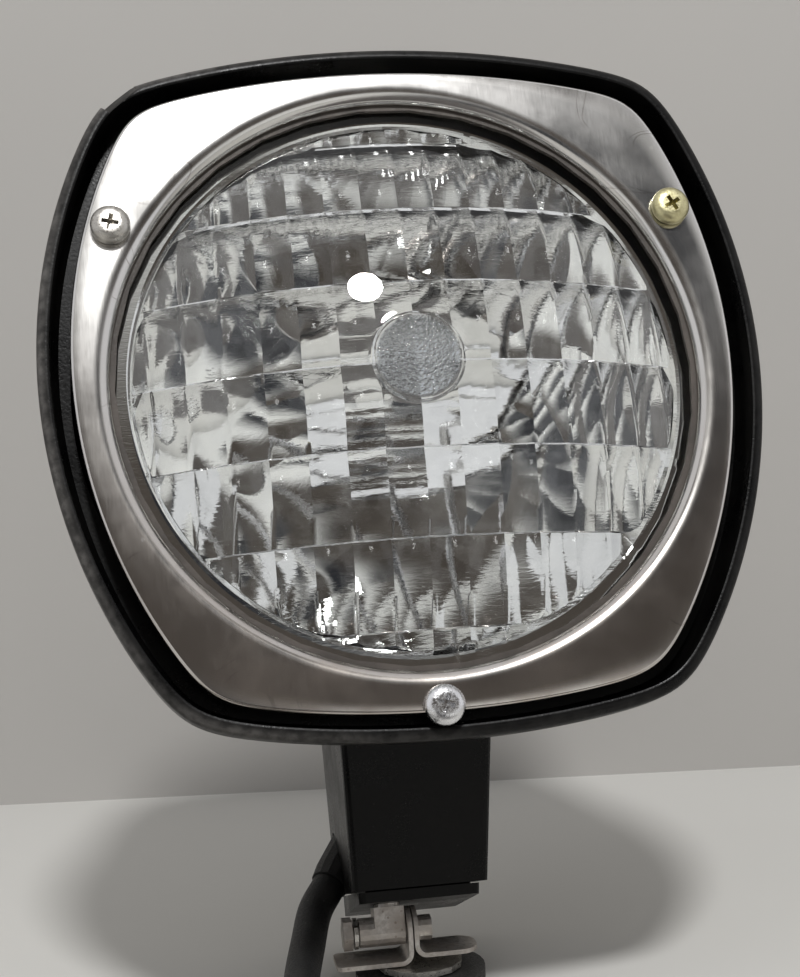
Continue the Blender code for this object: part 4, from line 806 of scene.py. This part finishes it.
screws = make_screws()
SCREW_SLOTS = {"left": "zinc_plate", "right": "yellow_chromate", "bottom": "bright_steel"}
for side, screw in screws.items():
    dress(screw, "head", SCREW_SLOTS[side], "bezel_screw_" + side)

# %% [markdown]
# ## Shared surface effects
# The finishes share a few effects: slow drift of tone, drawn-out grain, fine speckle and thin
# scratches. Each is a node group, built once, that gives a value between 0 and 1. The materials
# mix those values into their own colour, roughness and bump.

# %% Effect groups
def effect(name, inputs, build):
    """A shader group with a Vector input, some numbers and one Value output."""
    tree = bpy.data.node_groups.new(name, "ShaderNodeTree")
    tree.interface.new_socket("Vector", in_out="INPUT", socket_type="NodeSocketVector")
    for label, value in inputs.items():
        socket = tree.interface.new_socket(label, in_out="INPUT", socket_type=FLOAT)
        socket.default_value = value
    tree.interface.new_socket("Value", in_out="OUTPUT", socket_type=FLOAT)
    start = tree.nodes.new("NodeGroupInput")
    value = build(tree, {s.name: s for s in start.outputs if s.name})
    add(tree, "NodeGroupOutput", {"Value": value})
    return tree


def ramp(tree, value, low, high):
    """Maps low..high to 0..1, smoothly and within bounds."""
    made = add(tree, "ShaderNodeMapRange", {"Value": value, "From Min": low, "From Max": high},
               interpolation_type="SMOOTHSTEP")
    return made.outputs["Result"]


def stretched(tree, vector, x, y, z):
    return add(tree, "ShaderNodeVectorMath", {0: vector, 1: (x, y, z)}, operation="MULTIPLY").outputs[0]


def build_drift(tree, given):
    noise = add(tree, "ShaderNodeTexNoise",
                {"Vector": given["Vector"], "Scale": given["Scale"], "Detail": 4.0, "Roughness": 0.6})
    return ramp(tree, noise.outputs[0], 0.32, 0.68)


def build_grain(tree, given):
    drawn = stretched(tree, given["Vector"], 1.0, 1.0, 0.03)
    noise = add(tree, "ShaderNodeTexNoise",
                {"Vector": drawn, "Scale": given["Scale"], "Detail": 3.0, "Roughness": 0.7})
    return ramp(tree, noise.outputs[0], 0.25, 0.75)


def build_speckle(tree, given):
    cells = add(tree, "ShaderNodeTexVoronoi", {"Vector": given["Vector"], "Scale": given["Scale"]})
    dot = calc(tree, "LESS_THAN", cells.outputs["Distance"], given["Size"])
    chance = add(tree, "ShaderNodeSeparateColor", {"Color": cells.outputs["Color"]})
    picked = calc(tree, "LESS_THAN", chance.outputs[0], given["Share"])
    return calc(tree, "MULTIPLY", dot, picked)


def build_scratch(tree, given):
    bent = add(tree, "ShaderNodeTexNoise", {"Vector": given["Vector"], "Scale": 0.05, "Detail": 1.0})
    moved = add(tree, "ShaderNodeVectorMath", {0: given["Vector"], 1: bent.outputs["Color"], 2: (9, 9, 9)},
                operation="MULTIPLY_ADD")
    cells = add(tree, "ShaderNodeTexVoronoi",
                {"Vector": stretched(tree, moved.outputs[0], 1.0, 1.0, 0.35), "Scale": given["Scale"]},
                feature="DISTANCE_TO_EDGE")
    line = calc(tree, "LESS_THAN", cells.outputs["Distance"], given["Width"])
    patch = add(tree, "ShaderNodeTexNoise", {"Vector": given["Vector"], "Scale": 0.11, "Detail": 2.0})
    return calc(tree, "MULTIPLY", line, ramp(tree, patch.outputs[0], 0.52, 0.62))


DRIFT = effect("tone_drift", {"Scale": 0.1}, build_drift)
GRAIN = effect("drawn_grain", {"Scale": 4.0}, build_grain)
SPECKLE = effect("speckle", {"Scale": 0.5, "Size": 0.1, "Share": 0.3}, build_speckle)
SCRATCH = effect("thin_scratches", {"Scale": 0.2, "Width": 0.01}, build_scratch)
print("effects", [g.name for g in (DRIFT, GRAIN, SPECKLE, SCRATCH)])

# %% [markdown]
# ## Finishes
# Every finish reads Object coordinates, scaled to millimetres and turned into the lamp's frame, so
# grain runs the way the metal was polished. A Principled shader stands in each material, and the
# effects reach it as colour, roughness and bump.

# %% Finish helpers
MM = 1000.0


class Finish:
    """One material: its Principled shader, its coordinates in millimetres and its nodes."""

    def __init__(self, name, lamp_frame=True, **plain):
        self.material = bpy.data.materials.new(name)
        self.material.use_nodes = True
        self.tree = self.material.node_tree
        self.shader = self.tree.nodes["Principled BSDF"]
        for socket, value in plain.items():
            self.shader.inputs[socket.replace("_", " ")].default_value = value
        place = add(self.tree, "ShaderNodeTexCoord").outputs["Object"]
        lean = Matrix.Rotation(HEAD_LEAN, 3, "X")
        shift = (TILT_AXIS_IN_LAMP - lean @ TILT_AXIS) * MM if lamp_frame else (0, 0, 0)
        self.place = add(self.tree, "ShaderNodeMapping", {
            "Vector": place, "Scale": (MM, MM, MM), "Location": shift,
            "Rotation": (HEAD_LEAN if lamp_frame else 0.0, 0.0, 0.0)}).outputs[0]

    def effect(self, group, vector=None, **values):
        made = add(self.tree, "ShaderNodeGroup", node_tree=group)
        link_value(self.tree, vector or self.place, made.inputs["Vector"])
        for label, value in values.items():
            link_value(self.tree, value, made.inputs[label])
        return made.outputs["Value"]

    def calc(self, operation, *values):
        return calc(self.tree, operation, *values)

    def share(self, first, part, other):
        """A blend of two values: a part of the first and the rest of the other."""
        return self.calc("MULTIPLY_ADD", first, part, self.calc("MULTIPLY", other, 1 - part))

    def away(self, place):
        """Distance from a place, in millimetres."""
        made = add(self.tree, "ShaderNodeVectorMath", {0: self.place, 1: place}, operation="DISTANCE")
        return made.outputs["Value"]

    def axis(self, letter):
        """One coordinate, in millimetres."""
        return add(self.tree, "ShaderNodeSeparateXYZ", {"Vector": self.place}).outputs[letter]

    def noise(self, vector, scale, **values):
        made = add(self.tree, "ShaderNodeTexNoise", {"Vector": vector, "Scale": scale, **values})
        return made.outputs[0]

    def mix(self, share, low, high):
        """A colour between two, by a value."""
        made = add(self.tree, "ShaderNodeMix", data_type="RGBA")
        link_value(self.tree, share, made.inputs["Factor"])
        for key, value in ((6, low), (7, high)):
            colour = value if isinstance(value, bpy.types.NodeSocket) else (*value, 1.0)
            link_value(self.tree, colour, made.inputs[key])
        return made.outputs[2]

    def between(self, share, low, high):
        """A number between two, by a value."""
        return self.calc("MULTIPLY_ADD", share, high - low, low)

    def colour(self, socket):
        self.tree.links.new(socket, self.shader.inputs["Base Color"])

    def rough(self, socket):
        self.tree.links.new(socket, self.shader.inputs["Roughness"])

    def bump(self, height, distance, strength=1.0):
        made = add(self.tree, "ShaderNodeBump",
                   {"Height": height, "Distance": distance / MM, "Strength": strength})
        self.tree.links.new(made.outputs[0], self.shader.inputs["Normal"])


def cover(material, *pieces):
    """Gives pieces, or nodes by name, one material."""
    for piece in pieces:
        piece = nodes[piece] if isinstance(piece, str) else piece
        piece.data.materials.clear()
        piece.data.materials.append(material)


print("finish helpers ready")

# %% [markdown]
# Black plastic is never quite black: it drifts in tone, holds dust, and turns grey where its edge
# has rubbed. The rim's scuffs follow the point attribute made with the housing.

# %% Black plastic
def black_plastic(name, scuffed):
    made = Finish(name, Specular_IOR_Level=0.15)
    drift = made.effect(DRIFT, Scale=0.09)
    fine = made.effect(DRIFT, Scale=1.6)
    dust = made.effect(SPECKLE, Scale=0.55, Size=0.10, Share=0.25)
    tone = made.mix(drift, (0.0012, 0.0012, 0.0013), (0.0030, 0.0028, 0.0026))
    tone = made.mix(made.calc("MULTIPLY", dust, 0.08), tone, (0.10, 0.095, 0.09))
    rough = made.between(made.share(fine, 0.3, drift), 0.24, 0.40)
    if scuffed:
        edge = add(made.tree, "ShaderNodeAttribute", attribute_name="rim_edge").outputs["Fac"]
        rubbed = made.effect(DRIFT, Scale=0.55)
        broad = made.effect(DRIFT, Scale=0.045)
        left = ramp(made.tree, made.axis("X"), 20.0, -50.0)
        worn = made.calc("MULTIPLY", edge, made.calc("MULTIPLY_ADD", rubbed, 0.6, 0.4))
        worn = made.calc("MULTIPLY", worn, made.calc("MULTIPLY_ADD", left, 0.75, 0.12))
        worn = made.calc("MULTIPLY", worn, made.calc("MULTIPLY_ADD", broad, 0.7, 0.3))
        tone = made.mix(worn, tone, (0.20, 0.19, 0.18))
        rough = made.calc("MULTIPLY_ADD", worn, 0.15, rough)
    made.colour(tone)
    made.rough(rough)
    made.bump(fine, 0.012)
    return made.material


cover(black_plastic("black_plastic_rim", True), housing)
cover(black_plastic("black_plastic", False), "neck", "neck_plug")

# %% [markdown]
# The bezel is stainless sheet with an upright satin grain, a few dried water spots and stray
# scratches. Its colour also turns darker and browner low down: painted shade, for the dark room that
# the lower bezel mirrors.

# %% Stainless
def stainless():
    made = Finish("stainless", Metallic=1.0)
    grain = made.effect(GRAIN, Scale=7.0)
    coarse = made.effect(GRAIN, Scale=1.4)
    drift = made.effect(DRIFT, Scale=0.05)
    spots = made.effect(SPECKLE, Scale=0.22, Size=0.09, Share=0.3)
    lines = made.effect(SCRATCH, Scale=0.10, Width=0.008)
    low = ramp(made.tree, made.axis("Z"), 20.0, -55.0)
    tone = made.mix(made.share(grain, 0.5, coarse), (0.63, 0.615, 0.595), (0.68, 0.67, 0.65))
    # Painted shade: the metal's colour darkens to brown towards the bottom.
    painted_low_shade = made.calc("MULTIPLY", low, made.calc("MULTIPLY_ADD", drift, 0.6, 0.4))
    tone = made.mix(made.calc("MULTIPLY", painted_low_shade, 0.8), tone, (0.40, 0.345, 0.30))
    tone = made.mix(made.calc("MULTIPLY", spots, 0.45), tone, (0.80, 0.79, 0.76))
    made.colour(made.mix(made.calc("MULTIPLY", lines, 0.5), tone, (0.30, 0.27, 0.25)))
    made.rough(made.between(made.share(grain, 0.3, drift), 0.13, 0.24))
    made.bump(made.calc("MULTIPLY_ADD", grain, 0.6, coarse), 0.0006)
    return made.material


cover(stainless(), bezel)

# %% [markdown]
# Plated and bare metals share one recipe: a colour that drifts between two tones, dull specks, and
# a roughness that follows. The foot's steel adds rust in the drift's hollows.

# %% Metals
def metal(name, light, dark, speck, rough_low, rough_high, lamp_frame=True):
    made = Finish(name, lamp_frame, Metallic=1.0)
    drift = made.effect(DRIFT, Scale=0.35)
    fine = made.effect(DRIFT, Scale=2.2)
    pits = made.effect(SPECKLE, Scale=0.9, Size=0.16, Share=0.3)
    tone = made.mix(made.share(fine, 0.4, drift), dark, light)
    made.colour(made.mix(made.calc("MULTIPLY", pits, 0.5), tone, speck))
    made.rough(made.between(fine, rough_low, rough_high))
    made.bump(made.calc("MULTIPLY_ADD", fine, 0.5, drift), 0.02)
    return made.material


def foot_steel():
    made = Finish("foot_steel", False, Metallic=0.85)
    drift = made.effect(DRIFT, Scale=0.16)
    fine = made.effect(DRIFT, Scale=1.1)
    pits = made.effect(SPECKLE, Scale=0.8, Size=0.2, Share=0.35)
    tone = made.mix(fine, (0.48, 0.45, 0.415), (0.66, 0.635, 0.60))
    rust = made.calc("MULTIPLY", drift, made.calc("MULTIPLY_ADD", fine, 0.5, 0.4))
    tone = made.mix(made.calc("MULTIPLY", rust, 0.6), tone, (0.27, 0.19, 0.14))
    made.colour(made.mix(made.calc("MULTIPLY", pits, 0.4), tone, (0.15, 0.10, 0.07)))
    made.rough(made.between(made.share(drift, 0.6, fine), 0.34, 0.62))
    made.bump(made.calc("MULTIPLY_ADD", fine, 0.6, drift), 0.05)
    return made.material


zinc = metal("zinc_plate", (0.60, 0.58, 0.54), (0.42, 0.40, 0.37), (0.25, 0.22, 0.18), 0.26, 0.44)
chromate = metal("yellow_chromate", (0.72, 0.68, 0.42), (0.52, 0.47, 0.26), (0.34, 0.28, 0.12), 0.28, 0.45)
bright = metal("bright_steel", (0.82, 0.82, 0.83), (0.66, 0.66, 0.67), (0.45, 0.44, 0.43), 0.16, 0.32)
brass = metal("brass", (0.72, 0.54, 0.25), (0.55, 0.39, 0.16), (0.30, 0.20, 0.08), 0.26, 0.42)
tungsten = metal("tungsten", (0.34, 0.33, 0.32), (0.22, 0.21, 0.20), (0.12, 0.11, 0.10), 0.35, 0.5)
cover(zinc, screws["left"], "knuckle_nut", "lamp_seat_ring", "mount_nut", "mount_stud", "mount_washer",
      "neck_screw_left", "neck_screw_right", "plug_screw", "tilt_washer", "wire_lug_left", "wire_lug_right")
cover(chromate, screws["right"])
cover(bright, screws["bottom"], "filament_post_left", "filament_post_right")
cover(brass, "terminal_left", "terminal_right", "terminal_screw_left", "terminal_screw_right",
      "connector_pin_left", "connector_pin_right")
cover(tungsten, "filament")
cover(foot_steel(), "foot_angle_left", "foot_angle_right", "tilt_bolt", "tilt_knuckle")

# %% [markdown]
# Rubber and cord sheath are matt black with a little bloom. The red core wire is the same recipe
# in another colour. The gasket's lighter grey-brown is painted light: the sheen of the glass flange
# in front of it.

# %% Rubber
def rubber(name, dark, bloom):
    made = Finish(name, False, Specular_IOR_Level=0.35)
    drift = made.effect(DRIFT, Scale=0.12)
    fine = made.effect(DRIFT, Scale=2.5)
    dust = made.effect(SPECKLE, Scale=0.7, Size=0.12, Share=0.3)
    tone = made.mix(drift, dark, bloom)
    made.colour(made.mix(made.calc("MULTIPLY", dust, 0.3), tone, (0.12, 0.115, 0.11)))
    made.rough(made.between(fine, 0.42, 0.62))
    made.bump(fine, 0.03)
    return made.material


black_rubber = rubber("black_rubber", (0.010, 0.010, 0.010), (0.020, 0.019, 0.018))
cover(black_rubber, cord, "cord_gland", "cord_tie", "cord_connector", "mount_pad", "lead_wire_right")
# Painted light: the gasket is a lighter grey-brown than black rubber, for the flange's sheen.
cover(rubber("gasket_rubber_painted_sheen", (0.050, 0.042, 0.036), (0.085, 0.072, 0.062)), "lens_gasket")
cover(rubber("red_wire", (0.40, 0.02, 0.02), (0.52, 0.04, 0.03)), "lead_wire_left")

# %% [markdown]
# The lens is clear pressed glass. Its front is smooth, its back has the fine ripple of the mould,
# and its button is pebbled. The button's glass is also tinted a dark grey-blue: painted shade, for
# the dark it mirrors. A point's distance from the dome's centre tells the back from the front, so the
# ripple stays off the outside.

# %% Glass and mirror
def lens_glass():
    made = Finish("lens_glass", Transmission_Weight=1.0, IOR=1.50, Roughness=0.0)
    sphere, button_edge = DOME_SPHERE * MM, BUTTON_RADIUS * MM
    away = made.away((0.0, (APEX_Y + DOME_SPHERE) * MM, 0.0))
    behind = ramp(made.tree, away, sphere - 0.4, sphere - 1.2)
    squares = [made.calc("POWER", made.axis(letter), 2.0) for letter in "XZ"]
    off_axis = made.calc("SQRT", made.calc("ADD", *squares))
    button_pebble_and_shade = made.calc("MULTIPLY", ramp(made.tree, off_axis, button_edge - 0.4, button_edge - 1.2),
                       made.calc("SUBTRACT", 1.0, behind))
    flat = stretched(made.tree, made.place, 0.35, 1.0, 1.6)
    ripple = made.noise(flat, 0.9, Detail=3.0, Roughness=0.55, Distortion=0.6)
    pebble = made.noise(made.place, 1.5, Detail=2.0)
    height = made.calc("ADD", made.calc("MULTIPLY", ripple, made.calc("MULTIPLY", behind, 0.03)),
                       made.calc("MULTIPLY", pebble, made.calc("MULTIPLY", button_pebble_and_shade, 0.9)))
    made.bump(height, 1.0)
    # Painted shade: the button's glass is tinted a dark grey-blue.
    made.colour(made.mix(button_pebble_and_shade, (0.97, 0.98, 0.975), (0.50, 0.54, 0.59)))
    return made.material


def mirror():
    made = Finish("mirror_glass", Metallic=1.0)
    drift = made.effect(DRIFT, Scale=0.06)
    fine = made.effect(DRIFT, Scale=0.45)
    made.colour(made.mix(drift, (0.88, 0.88, 0.88), (0.94, 0.94, 0.93)))
    made.rough(made.between(fine, 0.0, 0.02))
    return made.material


cover(lens_glass(), lens)
cover(mirror(), reflector)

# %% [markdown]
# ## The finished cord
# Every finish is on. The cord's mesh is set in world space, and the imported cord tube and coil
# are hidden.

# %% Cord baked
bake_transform(cord)
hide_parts("cord_tube", "cord_coil")
[tuple(point) for point in CORD_LINE]
print("cord declared,", round(CORD_LENGTH, 3), "m")

# %% [markdown]
# ## Stage and light
# The lamp stands on a plain pale table in front of a plain grey wall, which is square to the camera.
# The wall lets light and other cameras through from behind.

# %% Stage
WALL_Y, WALL_TURN = 0.171, -0.149
FLOOR_TONE, WALL_TONE = (0.64, 0.63, 0.60), (0.44, 0.426, 0.405)


def stage_plane(name, corners, tone):
    mesh = bpy.data.meshes.new(name)
    mesh.from_pydata(corners, [], [(0, 1, 2, 3)])
    plane = bpy.data.objects.new(name, mesh)
    bpy.context.scene.collection.objects.link(plane)
    paint = Finish(name, False, Roughness=0.75)
    drift = paint.effect(DRIFT, Scale=0.004)
    paint.colour(paint.mix(drift, tone, tuple(c * 1.03 for c in tone)))
    cover(paint.material, plane)
    return plane, paint


floor, _ = stage_plane("floor", [(-3, -3, 0), (3, -3, 0), (3, 3, 0), (-3, 3, 0)], FLOOR_TONE)
wall, wall_paint = stage_plane(
    "wall", [(x, WALL_Y + WALL_TURN * x, z) for x, z in ((-2, 0), (2, 0), (2, 3), (-2, 3))], WALL_TONE)
wall.visible_shadow = False


def one_sided(paint):
    """Makes a stage material clear when seen from behind."""
    tree = paint.tree
    clear = add(tree, "ShaderNodeBsdfTransparent")
    behind = add(tree, "ShaderNodeNewGeometry").outputs["Backfacing"]
    both = add(tree, "ShaderNodeMixShader", {0: behind, 1: paint.shader.outputs[0], 2: clear.outputs[0]})
    tree.links.new(both.outputs[0], tree.nodes["Material Output"].inputs["Surface"])


one_sided(wall_paint)
print("wall at y", WALL_Y)

# %% [markdown]
# A small lamp high in front makes the glints in the glass and the shadow on the table. A broad
# soft light fills from the upper left. It stays out of reflections, where its square would show.

# %% Lamps
AIM = LAMP @ Vector((0.0, APEX_Y, 0.0))


def lamp_light(name, angles, distance, size, power, shape):
    """An area light, aimed at the lens from degrees left or right of straight ahead, and up."""
    data = bpy.data.lights.new(name, "AREA")
    data.shape, data.size, data.energy = shape, size, power
    light = bpy.data.objects.new(name, data)
    bpy.context.scene.collection.objects.link(light)
    side, up = (math.radians(angle) for angle in angles)
    way = Vector((math.sin(side) * math.cos(up), -math.cos(side) * math.cos(up), math.sin(up)))
    light.location = AIM + distance * way
    light.rotation_euler = (AIM - light.location).to_track_quat("-Z", "Y").to_euler()
    light.visible_camera = False
    return light


lamp_light("glint_lamp", (-0.8, 52.7), 1.1, 0.14, 9.0, "DISK")
fill = lamp_light("soft_fill", (-55.0, 45.0), 1.4, 0.9, 2.0, "SQUARE")
fill.visible_glossy = fill.visible_transmission = False

# %% [markdown]
# Metal and glass look like what they mirror. A painted card far behind the camera stands for the
# room: pale low down, a dark band that the lower bezel sees, pale again, then a dark ceiling, with
# one dark patch round the camera and one to the right. A dark mat lies in front. Only reflections
# and glass see either of them.

# %% Room card
CARD_Y, CARD_HALF, CARD_TOP, CARD_GLOW = -1.2, 0.9, 2.6, 0.5
BAND_RISE, BAND_FALL, CEILING_RISE = (0.30, 0.44), (1.30, 0.82), (1.36, 1.60)
DARK_SPOTS = [((-0.18, 0.10), 0.42, 0.20), ((0.46, 1.12), 0.46, 0.10)]
PALE_ROOM, BROWN_ROOM, DARK_ROOM = (0.80, 0.80, 0.79), (0.065, 0.054, 0.046), (0.012, 0.014, 0.020)
MAT_HALF, MAT_Z, MAT_EDGE, MAT_TONE = 0.13, 0.002, -0.15, (0.08, 0.072, 0.068)


def rectangle(half, low, high):
    """Four corners across X between two pairs of Y and Z."""
    return [(-half, *low), (half, *low), (half, *high), (-half, *high)]


def paint_room(paint):
    def step(value, edges):
        return ramp(paint.tree, value, edges[0] * MM, edges[1] * MM)

    height = paint.axis("Z")
    band = paint.calc("MULTIPLY", step(height, BAND_RISE), step(height, BAND_FALL))
    shade = paint.mix(paint.calc("MAXIMUM", band, step(height, CEILING_RISE)), PALE_ROOM, BROWN_ROOM)
    spots = [step(paint.away((x * MM, CARD_Y * MM, z * MM)), edges) for (x, z), *edges in DARK_SPOTS]
    shade = paint.mix(paint.calc("MAXIMUM", *spots), shade, DARK_ROOM)
    paint.colour(shade)
    paint.tree.links.new(shade, paint.shader.inputs["Emission Color"])
    paint.shader.inputs["Emission Strength"].default_value = CARD_GLOW


card, card_paint = stage_plane(
    "room_card", rectangle(CARD_HALF, (CARD_Y, 0.0), (CARD_Y, CARD_TOP)), WALL_TONE)
paint_room(card_paint)
mat, _ = stage_plane("dark_mat", rectangle(MAT_HALF, (CARD_Y, MAT_Z), (MAT_EDGE, MAT_Z)), MAT_TONE)
for unseen in (card, mat):
    unseen.visible_camera = unseen.visible_diffuse = unseen.visible_shadow = False
print("room card", CARD_TOP, "m high, mat from y", MAT_EDGE)

# %% [markdown]
# The world lights softly. Mirror and glass see it paler than it lights, as they would a white room.

# %% World
ROOM_LIGHT, ROOM_SHOWN = 0.36, 0.85


def make_world():
    world = bpy.data.worlds.new("room")
    world.use_nodes = True
    tree = world.node_tree
    ground = tree.nodes["Background"].inputs
    ground["Color"].default_value = (0.90, 0.90, 0.92, 1.0)
    ray = add(tree, "ShaderNodeLightPath").outputs
    mirrored = calc(tree, "MAXIMUM", ray["Is Glossy Ray"], ray["Is Transmission Ray"])
    shown = calc(tree, "MAXIMUM", ray["Is Camera Ray"], mirrored)
    link_value(tree, calc(tree, "MULTIPLY_ADD", shown, ROOM_SHOWN - ROOM_LIGHT, ROOM_LIGHT),
               ground["Strength"])
    bpy.context.scene.world = world
    bpy.context.scene.view_settings.view_transform = "Standard"
    print("world strength", ROOM_LIGHT, "and shown at", ROOM_SHOWN)


make_world()
